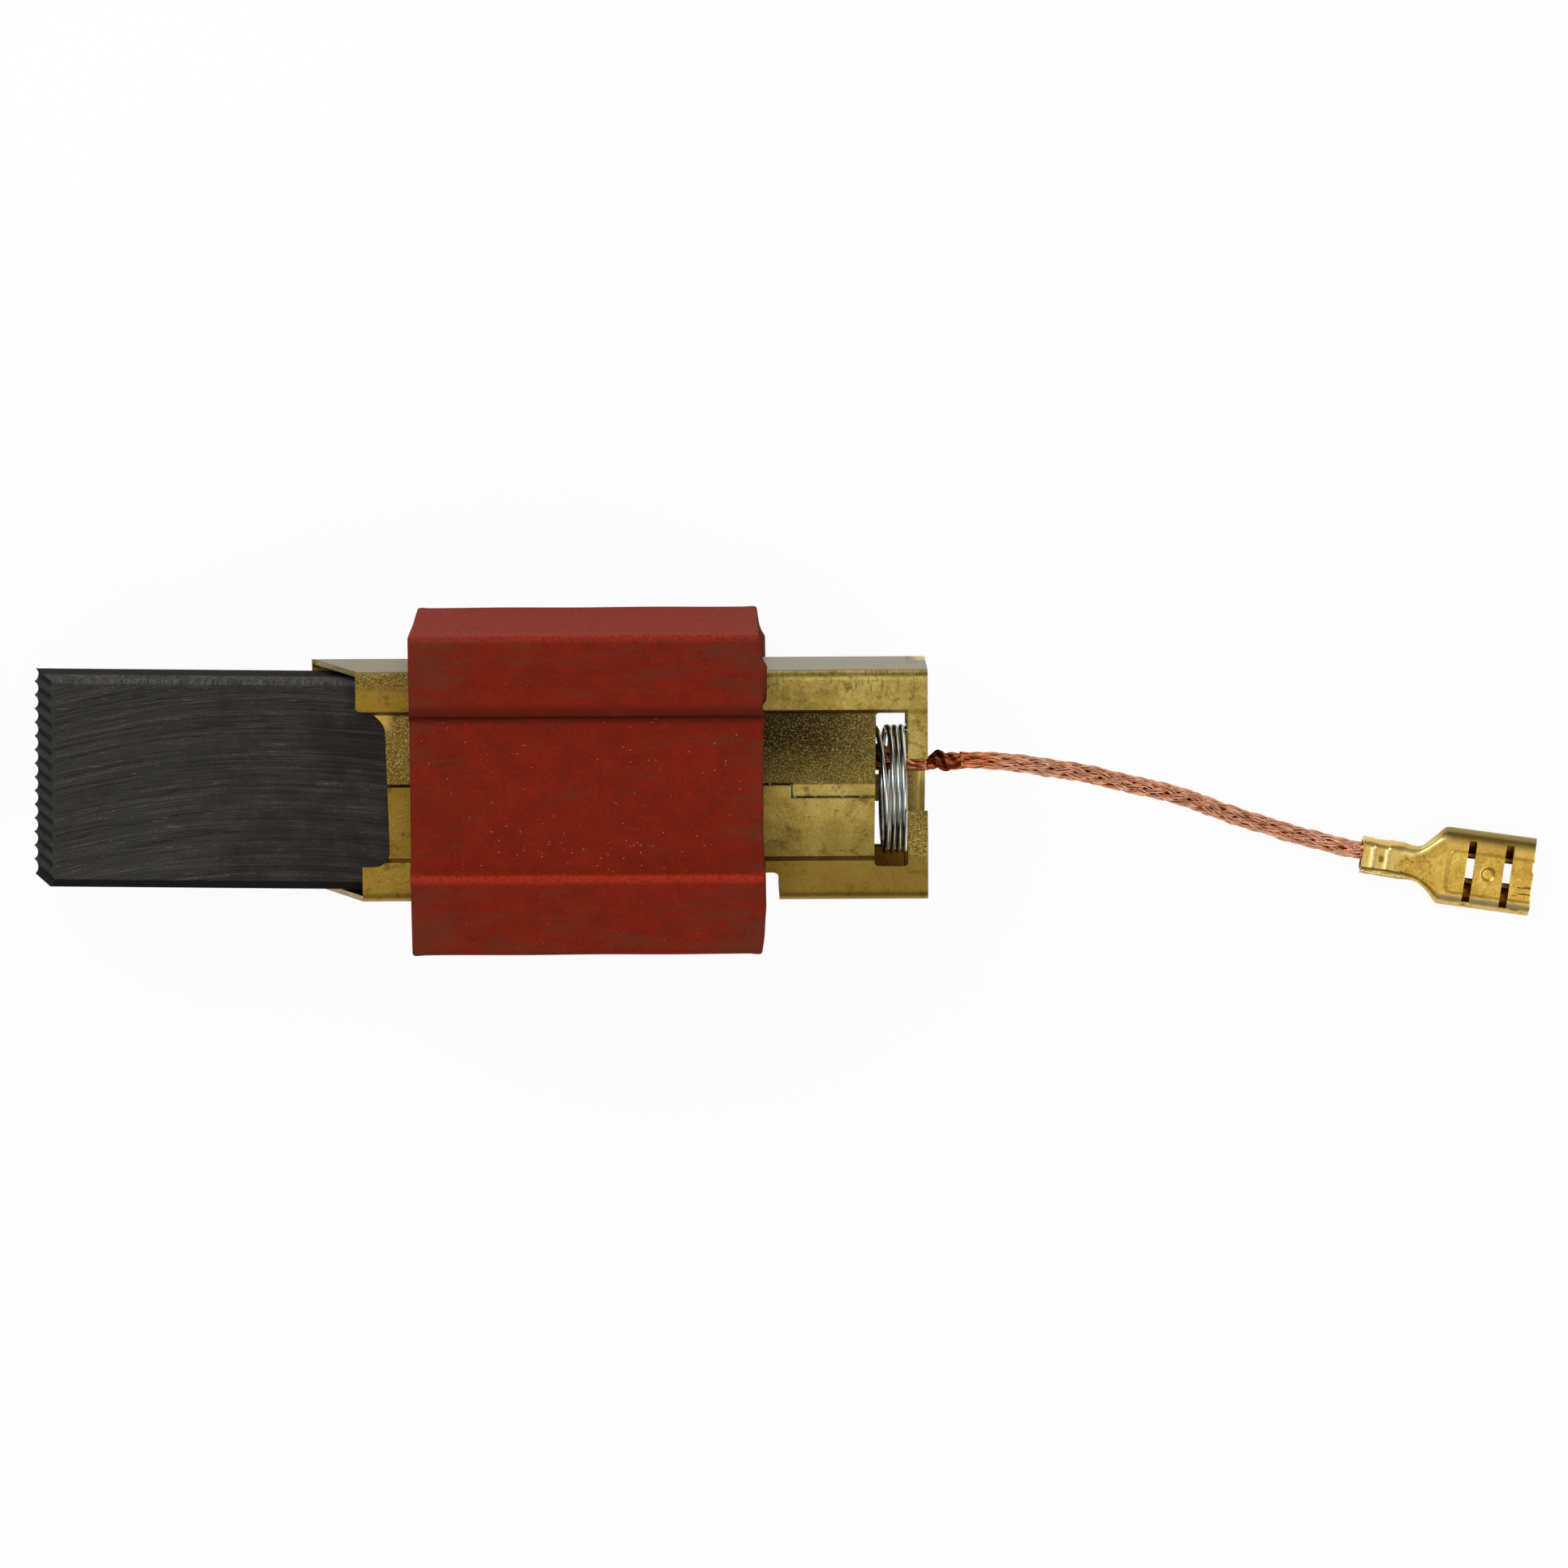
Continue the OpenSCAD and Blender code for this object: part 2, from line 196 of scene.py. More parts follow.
def copy_of(node, name):
    """A welded copy of a CAD node's mesh."""
    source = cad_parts[node]
    obj = bpy.data.objects.new(name, source.data.copy())
    bpy.context.collection.objects.link(obj)
    obj.data.name = name
    obj.data.materials.clear()
    with editing(obj):
        bpy.ops.mesh.customdata_custom_splitnormals_clear()
    weld(obj)
    return obj


def weld(obj):
    """Joins points closer than 2 micrometres and dissolves flat edges between faces."""
    with editing(obj):
        bpy.ops.mesh.remove_doubles(threshold=0.002 * MM)
        bpy.ops.mesh.dissolve_limited(angle_limit=math.radians(1))


def outwards(obj):
    with editing(obj):
        bpy.ops.mesh.normals_make_consistent(inside=False)


def outwards_from_above(obj):
    """Turns an open sheet's faces so that those at its top look up."""
    mesh = obj.data
    mesh.update()
    high = max(v.co.z for v in mesh.vertices)
    flat = next(f for f in mesh.polygons if f.center.z > high - 0.1 * MM and abs(f.normal.z) > 0.9)
    if flat.normal.z < 0:
        mesh.flip_normals()


def smooth(obj, degrees):
    activate(obj)
    bpy.ops.object.shade_smooth_by_angle(angle=math.radians(degrees))


def flats(obj):
    """Keeps large flat faces flat in shading beside their narrow rounded edges."""
    modify(obj, "WEIGHTED_NORMAL", weight=100, keep_sharp=True)


def finish_piece(obj, body, slot, finish, *nodes):
    """Gives a piece its material, says what it rides on, and hides the parts it stands for."""
    obj.data.materials.clear()
    obj.data.materials.append(finish)
    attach(obj, body)
    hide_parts(*nodes)


def step(a, b, x):
    """Rises smoothly from 0 at a to 1 at b."""
    t = min(max((x - a) / (b - a), 0), 1)
    return t * t * (3 - 2 * t)


# ---- Curves and wires ----

def curve_through(points, gap):
    """Points about gap apart, in millimetres, on a smooth curve through the given ones."""
    p = np.array(points, float)
    p = np.vstack([2 * p[0] - p[1], p, 2 * p[-1] - p[-2]])
    fine = []
    for a, b, c, d in zip(p[:-3], p[1:-2], p[2:-1], p[3:]):
        for t in np.linspace(0, 1, 24, endpoint=False):
            fine.append(0.5 * (2 * b + (c - a) * t + (2 * a - 5 * b + 4 * c - d) * t ** 2
                               + (3 * b - a - 3 * c + d) * t ** 3))
    fine = np.array(fine + [p[-2]])
    along = np.concatenate([[0], np.cumsum(np.linalg.norm(np.diff(fine, axis=0), axis=1))])
    at = np.linspace(0, along[-1], max(2, round(along[-1] / gap)) + 1)
    return np.stack([np.interp(at, along, fine[:, k]) for k in range(3)], axis=1), at


def unit(v):
    return v / np.maximum(np.linalg.norm(v, axis=-1, keepdims=True), 1e-12)


def frames_of(line):
    """Two directions square to a line at each of its points."""
    tangent = unit(np.gradient(line, axis=0))
    side = unit(np.cross(np.array([0.0, 0.0, 1.0]), tangent))
    return side, np.cross(tangent, side)


def wires(name, lines, radii, tones, sides):
    """One mesh of round wires, each along its own line of points in millimetres."""
    points, faces, tone = [], [], []
    start = 0
    for index, (line, radius) in enumerate(zip(lines, radii)):
        tangent = unit(np.gradient(line, axis=0))
        lean = np.array([0.31, 0.53, 0.79])
        a = unit(np.cross(tangent, lean))
        b = np.cross(tangent, a)
        count = len(line)
        wide = np.broadcast_to(radius, count)[:, None]
        for k in range(sides):
            angle = 2 * math.pi * k / sides
            points.append(line + wide * (math.cos(angle) * a + math.sin(angle) * b))
        for k in range(sides):
            m = (k + 1) % sides
            for i in range(count - 1):
                faces.append((start + k * count + i, start + m * count + i,
                              start + m * count + i + 1, start + k * count + i + 1))
        faces.append(tuple(start + k * count for k in reversed(range(sides))))
        faces.append(tuple(start + k * count + count - 1 for k in range(sides)))
        tone.append(np.tile(tones[index] if tones else np.full(count, 0.5), sides))
        start += sides * count
    mesh = bpy.data.meshes.new(name)
    mesh.from_pydata((np.vstack(points) * MM).tolist(), [], faces)
    mesh.attributes.new("tone", "FLOAT", "POINT").data.foreach_set(
        "value", np.concatenate(tone))
    obj = bpy.data.objects.new(name, mesh)
    bpy.context.collection.objects.link(obj)
    outwards(obj)
    mesh.shade_smooth()
    return obj


# ---- Materials ----

def add(tree, kind, *values, stops=None, **named):
    """Adds a node with its settings and links.

    kind may have the node's operation after a space. Values without a name go to its first
    inputs. A name with a capital is an input, with _ for a space, and any other is a setting.
    A value is a number, a colour, a socket or a node. stops are a colour ramp's, each a place
    from 0 to 1 with a hex code or a grey.
    """
    kind, _, operation = kind.partition(" ")
    made = tree.nodes.new("ShaderNode" + kind)
    if operation:
        made.operation = operation
    for key, value in named.items():
        if not key[0].isupper():
            setattr(made, key, value)
    if stops:
        elements = made.color_ramp.elements
        while len(elements) < len(stops):
            elements.new(0.5)
        for element, (place, tint) in zip(elements, stops):
            element.position = place
            element.color = linear(tint) if isinstance(tint, str) else (tint,) * 3 + (1,)
    pairs = list(zip(made.inputs, values))
    for key, value in named.items():
        if key[0].isupper():
            name = key.replace("_", " ")
            pairs.append((next(s for s in made.inputs if s.name == name and s.enabled), value))
    for socket, value in pairs:
        if isinstance(value, bpy.types.Node):
            value = next(output for output in value.outputs if output.enabled)
        if isinstance(value, bpy.types.NodeSocket):
            tree.links.new(value, socket)
        else:
            socket.default_value = value
    return made


def empty(owner):
    """Clears a material's or a world's nodes; returns the function that adds one there."""
    owner.use_nodes = True
    owner.node_tree.nodes.clear()
    return partial(add, owner.node_tree)


def start(name):
    """A new material, its node adder, and its place in millimetres, whole and as x, y, z."""
    material = bpy.data.materials.new(name)
    node = empty(material)
    coordinates = node("TexCoord").outputs["Object"]
    place = node("VectorMath SCALE", coordinates, Scale=1 / MM)
    return material, node, place, node("SeparateXYZ", place).outputs


def zone(node, *parts):
    """The product of parts: a socket, a number, or a soft step from one of them.

    A soft step is a socket with the value where it is 0 and the value where it is 1.
    """
    share = None
    for part in parts:
        if isinstance(part, tuple):
            value, none, full = part
            part = node("MapRange", Value=value, From_Min=none, From_Max=full,
                        interpolation_type="SMOOTHSTEP")
        share = part if share is None else node("Math MULTIPLY", share, part)
    return share


def painted(node, base, *coats):
    """Lays coats over a base in turn: each a hex code or a node, then the parts of its share."""
    for coat, *parts in coats:
        tint = linear(coat) if isinstance(coat, str) else coat
        base = node("Mix", Factor=zone(node, *parts), A=base, B=tint, data_type="RGBA")
    return base


def surface(node, bump=None, **inputs):
    """Ends a material. bump is a height, its strength and its depth in millimetres."""
    if bump:
        height, strength, depth = bump
        inputs["Normal"] = node("Bump", Strength=strength, Distance=depth * MM, Height=height)
    node("OutputMaterial", Surface=node("BsdfPrincipled", **inputs))


def graphite():
    """Pressed electrographite, sawn and ground lengthwise.

    It is nearly black, matt and dry. Its grinding marks follow the saw's wide arc; they are a
    few hundredths of a millimetre wide, and drawn about 0.1 mm so that they show. A narrow
    strip along the far edge, which rubs in the holder, is greyer and scuffed across.
    """
    material, node, place, (x, y, z) = start("ground_electrographite")
    saw_radius, skew, ribs_per_mm = 67.5, 0.014, 15 / 16
    from_middle = node("Math ADD", x, 15.5)
    bow = node("Math MULTIPLY", node("Math POWER", from_middle, 2.0), 1 / (2 * saw_radius))
    bowed = node("CombineXYZ", node("Math MULTIPLY", x, 0.014), node("Math ADD", y, bow), z)
    # across the block, which sits a little askew in its holder
    across = node("Math ADD", y, node("Math MULTIPLY", node("Math ADD", x, 8.75), skew))
    fine, broad, cloud, grain = (
        node("TexNoise", Vector=vector, Scale=scale, Detail=detail, Roughness=rough)
        for vector, scale, detail, rough in [
            (bowed, 11.0, 3, 0.8), (bowed, 1.5, 5, 0.7), (place, 0.2, 5, 0.65),
            (place, 7, 3, 0.85)])
    scuffs = node("TexNoise", Scale=1.0, Detail=4, Roughness=0.8,
                  Vector=node("Mapping", Vector=place, Scale=(4.5, 0.9, 0.7)))
    scratches = node("TexNoise", Scale=1.0, Detail=2, Roughness=0.5, Vector=node(
        "Mapping", Vector=place, Rotation=(0, 0, 0.9), Scale=(0.5, 5, 1)))
    marks = node("ValToRGB", Fac=fine, stops=[
        (0.32, "#2c2b27"), (0.48, "#363531"), (0.58, "#3b3a36"), (0.76, "#4e4c47")])
    # dark clouds towards the contact face's middle, darkest where the holder covers the block
    clouding = node("Math ADD", cloud, node(
        "MapRange", Value=x, From_Min=-34, From_Max=-8, To_Min=0.08, To_Max=-0.1))
    # painted shade in the hollows between the bedding ribs, darker than their crests
    ribs = node("Math COSINE", node("Math MULTIPLY", across, 2 * math.pi * ribs_per_mm))
    # the block's wear, with painted shade on its edges and between its ribs
    worn = painted(
        node, marks,
        # single deep marks and single bright ones of the wheel
        ("#141311", (broad, 0.44, 0.453), (broad, 0.468, 0.457), 0.75),
        ("#75736c", (broad, 0.53, 0.541), (broad, 0.556, 0.545), (grain, 0.4, 0.6), 0.5),
        ("#57554f", (grain, 0.56, 0.74), 0.8),
        ("#1b1a18", (grain, 0.45, 0.28), 0.6),
        ("#6b6963", (scratches, 0.68, 0.71), (cloud, 0.45, 0.55), 0.5),
        ("#232220", (clouding, 0.52, 0.36), 0.5),
        ("#62605a", (across, 7.62, 7.8), (z, 12.6, 14.2), (scuffs, 0.38, 0.68), 0.8),
        # painted shade on the lower part of the far side wall
        ("#262522", (across, 7.85, 7.95), (z, 14.2, 12.6)),
        # painted shade on the near chamfer
        ("#1c1b19", (across, -7.3, -7.42)),
        ("#11110f", (x, -32.45, -32.75), (ribs, -0.4, 0.8), 0.85))
    height = node("Math ADD", fine, node("Math MULTIPLY", grain, 0.4))
    surface(node, (height, 0.6, 0.05), Base_Color=worn, Roughness=0.9, IOR=1.12)
    return material


def holder_brass():
    """Rolled brass sheet of the holder, folded in a press and aged.

    The flats keep a satin mill finish under brown clouds. Where the sheet was stretched it has
    a glittery orange peel, whose grains are about 0.1 mm and are painted light and dark as
    painted glints. The upper lap is painted dark behind the sleeve as painted shade, and the
    folds, the outer walls and the inside of the tube get painted shade too; the mouth's corner
    and the strap behind the lead get painted highlights, and bends and cut edges shine.
    """
    material, node, place, (x, y, z) = start("folded_rolled_brass")
    rails = node("Math ABSOLUTE", y)
    clouds, spots, grain, glitter = (
        node("TexNoise", Vector=place, Scale=scale, Detail=detail, Roughness=rough)
        for scale, detail, rough in [(0.3, 6, 0.62), (1.1, 5, 0.65), (5, 3, 0.8), (8, 3, 0.9)])
    combed = node("TexNoise", Scale=1.0, Detail=3, Roughness=0.7,
                  Vector=node("Mapping", Vector=place, Scale=(6, 0.6, 1)))
    satin = node("ValToRGB", Fac=clouds, stops=[
        (0.32, "#937b39"), (0.48, "#b2984a"), (0.68, "#c6b062")])
    # where the sheet was stretched: the upper lap, folds at the mouth, the strap's lower finger
    # and the strap behind it
    lap = stretched = zone(node, (y, 0.0, 0.15), (y, 5.75, 5.5), (x, 31, 30.7))
    for limits in [((y, 7.3, 7.9), (x, 0, -1)),
                   ((x, 32.9, 33.2), (y, -1.9, -2.2), (y, -6.4, -4.8), (z, 14, 15)),
                   ((x, 33.0, 33.2), (z, 14, 12), (x, 34.3, 34.0))]:
        stretched = node("Math MAXIMUM", stretched, zone(node, *limits))
    # the orange peel's grains, painted lighter and darker as painted glints
    peel = node("ValToRGB", Fac=glitter, stops=[
        (0.36, "#4b3b15"), (0.47, "#80662a"), (0.55, "#a98e43"), (0.65, "#ffe9a0")])
    # painted shade on the upper lap, which thins out towards the mouth and the seam
    lap_shade = node("Math ADD", y, node("Math MULTIPLY", clouds, 5.0))
    # painted shade: the inside of the tube is painted brown, most of all its floor beyond the
    # spring
    inside = [(z, 18.12, 18.0), (z, 7.84, 8.0), (rails, 8.42, 8.2), (x, 33.0, 32.8)]
    beyond = [(z, 7.12, 7.25), (z, 12, 9), (y, -5.0, -5.6)]
    grime = "#2b210f"
    brass = painted(
        node, satin,
        ("#d8c47a", (grain, 0.52, 0.7), 0.6),
        ("#7b642b", (grain, 0.47, 0.32), 0.6),
        # the near rail and the mouth are warmer and browner
        ("#a87f28", (y, -5.6, -6.0), 0.65),
        ("#94701f", (x, -2, -5), (y, -5.8, -5.4), 0.75),
        ("#6b4f22", (spots, 0.53, 0.68), 0.7),
        # combing across the far rail
        ("#6f5d2c", (combed, 0.5, 0.68), (y, 6.6, 7.6), 0.8),
        # the lower lap darkens towards its fold
        ("#6d5927", (y, -1.8, -5.4), (x, 20, 23), 0.5),
        (peel, stretched, 0.85),
        # painted shade over the upper lap
        ("#40351a", lap, (x, 8, 16), 0.3),
        ("#2a2312", lap, (lap_shade, 2.2, 5.8), (x, 2, 14), (x, 34, 25), (glitter, 0.75, 0.45)),
        # folds: painted shade, a brown line inside and a paler one outside
        ("#4d3b18", (y, 5.3, 5.6), (y, 6.0, 5.7), 0.35),
        ("#6b5526", (y, -5.95, -5.7), (y, -5.35, -5.6), 0.2),
        # grime in the seam and its jog
        (grime, (y, -0.12, -0.02), (y, 0.24, 0.14), (x, 24.35, 24.3), 0.8),
        (grime, (y, -1.12, -1.02), (y, -0.76, -0.86), (x, 24.1, 24.2), (x, 31, 30.8), 0.6),
        # painted shade, a brown line along the outer fold
        ("#6a5527", (y, 8.2, 8.4), (y, 8.7, 8.5), 0.25),
        # painted shade: the outer walls are painted duller and darker than the flats
        ("#776a38", (rails, 8.72, 8.84)),
        # a painted highlight in the mouth's corner, where the sheet turns up
        ("#f7d068", (x, -8.2, -7.7), (x, -6.1, -6.9), (y, 3.9, 5.0), (y, 5.75, 5.4), 0.8),
        # a painted highlight on the strap behind the lead
        ("#e9cb6e", (x, 33.4, 34.2), (z, 12, 10), 0.6),
        ("#5a4018", *inside),
        ("#8a6424", *beyond))
    height = node("Math ADD", grain, zone(node, stretched, glitter, 3.0))
    surface(node, (height, 0.5, 0.05), Base_Color=brass, Metallic=1, Roughness=0.38)
    return material


def terminal_brass():
    """Bright rolled brass of the push-on terminal.

    It is cleaner and yellower than the holder, with a soft cloudy sheen, fingerprints browned
    in small spots, and a few dark scratches by the open end. Its own place runs along it.
    """
    material, node, place, _ = start("bright_rolled_brass")
    own = node("Mapping", Vector=place, vector_type="TEXTURE",
               Location=(*TERMINAL_PLACE, 0), Rotation=(0, 0, math.radians(TERMINAL_TURN)))
    u, v, w = node("SeparateXYZ", own).outputs
    clouds, spots, fine = (
        node("TexNoise", Vector=place, Scale=scale, Detail=detail, Roughness=rough)
        for scale, detail, rough in [(0.6, 5, 0.6), (2.2, 5, 0.75), (5, 3, 0.7)])
    scratches = node("TexNoise", Scale=1.0, Detail=2, Vector=node(
        "Mapping", Vector=own, Rotation=(0, 0, 0.9), Scale=(0.8, 5, 1)))
    tint = node("ValToRGB", Fac=clouds, stops=[
        (0.33, "#bd9238"), (0.5, "#d0a748"), (0.68, "#e2ba5a")])
    # how far a point lies from the painted highlight along the neck's far side
    line = node("MapRange", Value=u, From_Min=4.0, From_Max=6.5, To_Min=-0.75,
                To_Max=-2.3, interpolation_type="SMOOTHSTEP")
    off_highlight = node("Math ABSOLUTE", node("Math ADD", v, line))
    printed = (spots, 0.5, 0.66)
    brass = painted(
        node, tint,
        ("#f3d988", (fine, 0.53, 0.72), 0.45),
        ("#93712c", (fine, 0.46, 0.28), 0.5),
        # painted light: the barrel is painted brightest, with painted highlights where the crimping
        # tool bore on it
        ("#ffdf8e", (u, 3.4, 2.4), 0.4),
        *[("#fff3c0", (u, at, at + 0.14), (u, at + 0.36, at + 0.22), (v, -0.95, -0.7),
           (v, 1.1, 0.8), 0.6) for at in (0.62, 1.76)],
        # a painted highlight along the neck's far side
        ("#ffe795", (off_highlight, 0.42, 0.1), (u, 2.6, 3.6), (u, 6.9, 6.2), 0.9),
        # the seam's rolled edge carries a painted highlight over a brown line
        ("#6e4f1c", (v, -0.8, -0.9), (v, -1.06, -0.96), (u, 4.4, 3.4), 0.6),
        ("#fff3c0", (v, -1.0, -1.12), (u, 3.9, 3.0), (spots, 0.4, 0.55), 0.7),
        # browned prints: on the neck's near side, along the curls and in the barrel's groove
        ("#7a5a22", printed, (u, 2.2, 3.2), (u, 6.6, 5.4), (v, 1.2, 0.2), (v, -2.0, -1.0), 0.85),
        ("#7a5a22", printed, (v, -1.9, -2.5), (u, 5.5, 7.5), 0.6),
        ("#5e3d18", (u, 1.2, 1.4), (u, 1.8, 1.6), (v, -0.45, -0.2), (v, 0.3, 0.05), 0.8),
        # a painted highlight on the near curl
        ("#ffe9a8", (v, -2.0, -2.25), (v, -2.95, -2.6), (u, 5.9, 6.5), 0.5),
        # the far curl: a painted highlight near its crest, and painted shade darker towards its
        # outside
        ("#d8b566", (v, 1.85, 2.05), (v, 2.4, 2.2), (u, 5.9, 6.4), 0.6),
        ("#8c7740", (v, 2.2, 2.75), (u, 5.6, 6.4), 0.9),
        # scratches by the open end, and the floor's shaded underside
        ("#3a2710", (scratches, 0.61, 0.65), (u, 11.9, 12.3), (v, -0.5, -0.9), (v, -3.0, -2.5)),
        ("#8f6422", (w, 1.2, 0.9)))
    height = node("Math ADD", fine, node("Math MULTIPLY", clouds, 4.0))
    surface(node, (height, 0.2, 0.05), Base_Color=brass, Metallic=1, Roughness=0.28)
    return material


def red_sleeve():
    """Moulded insulating sleeve in oxide red.

    Dull and slightly waxy, brown with handling on the rails and at the ends, with painted
    highlights along the long edges and the near crease, painted shade in the far crease and a
    painted reflection greying the top wall, with a fine grain, dark pits, and pale dust under
    0.1 mm.
    """
    material, node, place, (x, y, _) = start("moulded_red_insulation")
    middle = 8.6
    rails = node("Math ABSOLUTE", y)
    ends = node("Math ABSOLUTE", node("Math SUBTRACT", x, middle))
    mottle = node("TexNoise", Vector=place, Scale=0.5, Detail=7, Roughness=0.7)
    fine = node("TexNoise", Vector=place, Scale=4.5, Detail=4, Roughness=0.8)
    smear = node("TexNoise", Scale=1.0, Detail=7, Roughness=0.75,
                 Vector=node("Mapping", Vector=place, Scale=(0.2, 0.9, 0.5)))
    tint = node("ValToRGB", Fac=mottle, stops=[
        (0.34, "#6d1d0e"), (0.5, "#771e0f"), (0.66, "#7f200f")])
    # handling: stronger towards the ends and on the rails
    where = node("Math ADD", zone(node, (ends, 7.0, 13.5)), zone(node, (rails, 5.5, 11), 0.8))
    handled = node("Math ADD", smear, node(
        "MapRange", Value=where, From_Max=2.0, To_Min=-0.03, To_Max=0.2))
    # dust, thickest along the near crease; specks differ in size
    near_crease = zone(node, (y, -1.0, -4.0), (y, -7.0, -6.0), (x, -2, 6), (x, 19, 11), 0.4)
    cells = node("TexVoronoi", Scale=3.6,
                 Vector=node("Mapping", Vector=place, Scale=(1, 1.25, 1)))
    draw, _, size = node("SeparateColor", cells.outputs["Color"]).outputs
    chosen = node("Math ADD", draw, near_crease)
    speck = node("Math DIVIDE", cells.outputs["Distance"], size)
    pits = node("TexVoronoi", Vector=place, Scale=1.2).outputs
    # the sleeve's own wear, with painted light and shade along its creases, edges and top wall
    aged = painted(
        node, tint,
        ("#8b2f1f", (fine, 0.52, 0.74), 0.6),
        ("#5b170c", (fine, 0.47, 0.28), 0.6),
        ("#5a3220", (handled, 0.5, 0.72), 0.62),
        # painted shade in the far crease; painted highlights along the near one and the long edges
        ("#52190c", (y, 5.2, 6.0), (y, 7.2, 6.2), (mottle, 0.15, 0.55)),
        ("#a5301a", (y, -6.9, -6.35), (y, -5.75, -6.1), (fine, 0.28, 0.6)),
        ("#a03522", (y, 11.5, 12.2), (y, 13.0, 12.4), (fine, 0.3, 0.65)),
        # a painted reflection greys the top wall
        ("#6b473b", (y, 12.85, 13.0), 0.45),
        ("#dcc6ba", (speck, 0.17, 0.08), (chosen, 0.88, 0.93), 0.8),
        ("#2e120b", (pits["Distance"], 0.09, 0.04), (pits["Color"], 0.6, 0.62), 0.8))
    height = node("Math ADD", fine, node("Math MULTIPLY", mottle, 2.0))
    surface(node, (height, 0.6, 0.06), Base_Color=aged, Roughness=0.8, IOR=1.15)
    return material


def copper():
    """Bare copper wires of the braid, with painted shade in the crevices.

    tone is painted light and shade: 0 for a wire deep in the braid and 1 for one on the outside.
    """
    material, node, place, _ = start("braided_copper_wire")
    tone = node("Attribute", attribute_name="tone").outputs["Fac"]
    tarnish = node("TexNoise", Vector=place, Scale=0.8, Detail=4, Roughness=0.6)
    tint = node("ValToRGB", Fac=tone, stops=[
        (0.05, "#3a1204"), (0.26, "#93461f"), (0.5, "#f0915c"), (0.8, "#ffcba8")])
    tint = painted(node, tint, ("#8a4630", (tarnish, 0.5, 0.7), 0.35))
    surface(node, Base_Color=tint, Metallic=1, Roughness=0.27, Specular_Tint=linear("#e08c5c"))
    return material


def steel():
    """Hard-drawn spring wire: bright, with faint drawing marks and a grey bloom."""
    material, node, place, _ = start("drawn_spring_steel")
    marks = node("TexNoise", Scale=1.0, Detail=2, Roughness=0.5,
                 Vector=node("Mapping", Vector=place, Scale=(2, 0.3, 0.3)))
    tint = node("ValToRGB", Fac=marks, stops=[
        (0.35, "#a8ada8"), (0.5, "#c4c8c3"), (0.65, "#dadcd8")])
    surface(node, Base_Color=tint, Metallic=1, Roughness=0.17)
    return material


def tamping_powder():
    """Copper powder tamped round the shunt, a dull sintered brown in grains of 0.2 mm."""
    material, node, place, _ = start("tamped_copper_powder")
    grains = node("TexNoise", Vector=place, Scale=5, Detail=2)
    tint = node("ValToRGB", Fac=grains, stops=[(0.3, "#4a2c1c"), (0.7, "#8a5a3c")])
    surface(node, (grains, 0.8, 0.08), Base_Color=tint, Metallic=0.5, Roughness=0.6)
    return material


# ---- Settings in the sidebar ----

def length(name, description, default, low, high):
    """A length in the sidebar, with its default and limits in millimetres."""
    return FloatProperty(name=name, description=description, default=default * MM,
                         min=low * MM, max=high * MM, unit="LENGTH", precision=5)


class CARBONBRUSH_PG_settings(bpy.types.PropertyGroup):
    edge: length("Broken edge", "Width of the broken edges on the sheet metal", 0.06, 0, 0.2)
    carbon_edge: length("Carbon edge", "Width of the rubbed edges on the carbon block",
                        0.07, 0, 0.2)
    sleeve_edge: length("Sleeve edge", "Radius round the ends of the sleeve", 0.3, 0.1, 0.6)
    braid: length("Braid diameter", "Diameter of the copper braid", 1.5, 1.2, 1.7)
    braid_lay: length("Braid lay", "Length in which a strand goes once round the braid",
                      14.4, 8, 20)
    wires: IntProperty(
        name="Wires", description="Wires round one strand of the braid",
        default=8, min=5, max=12)
    spring_wire: length("Spring wire", "Diameter of the spring's wire", 0.43, 0.4, 0.6)
    backdrop: FloatVectorProperty(
        name="Backdrop", description="Colour of the table and the background",
        default=(1, 1, 1), size=3, subtype="COLOR", min=0, max=1)


# ---- Operators ----

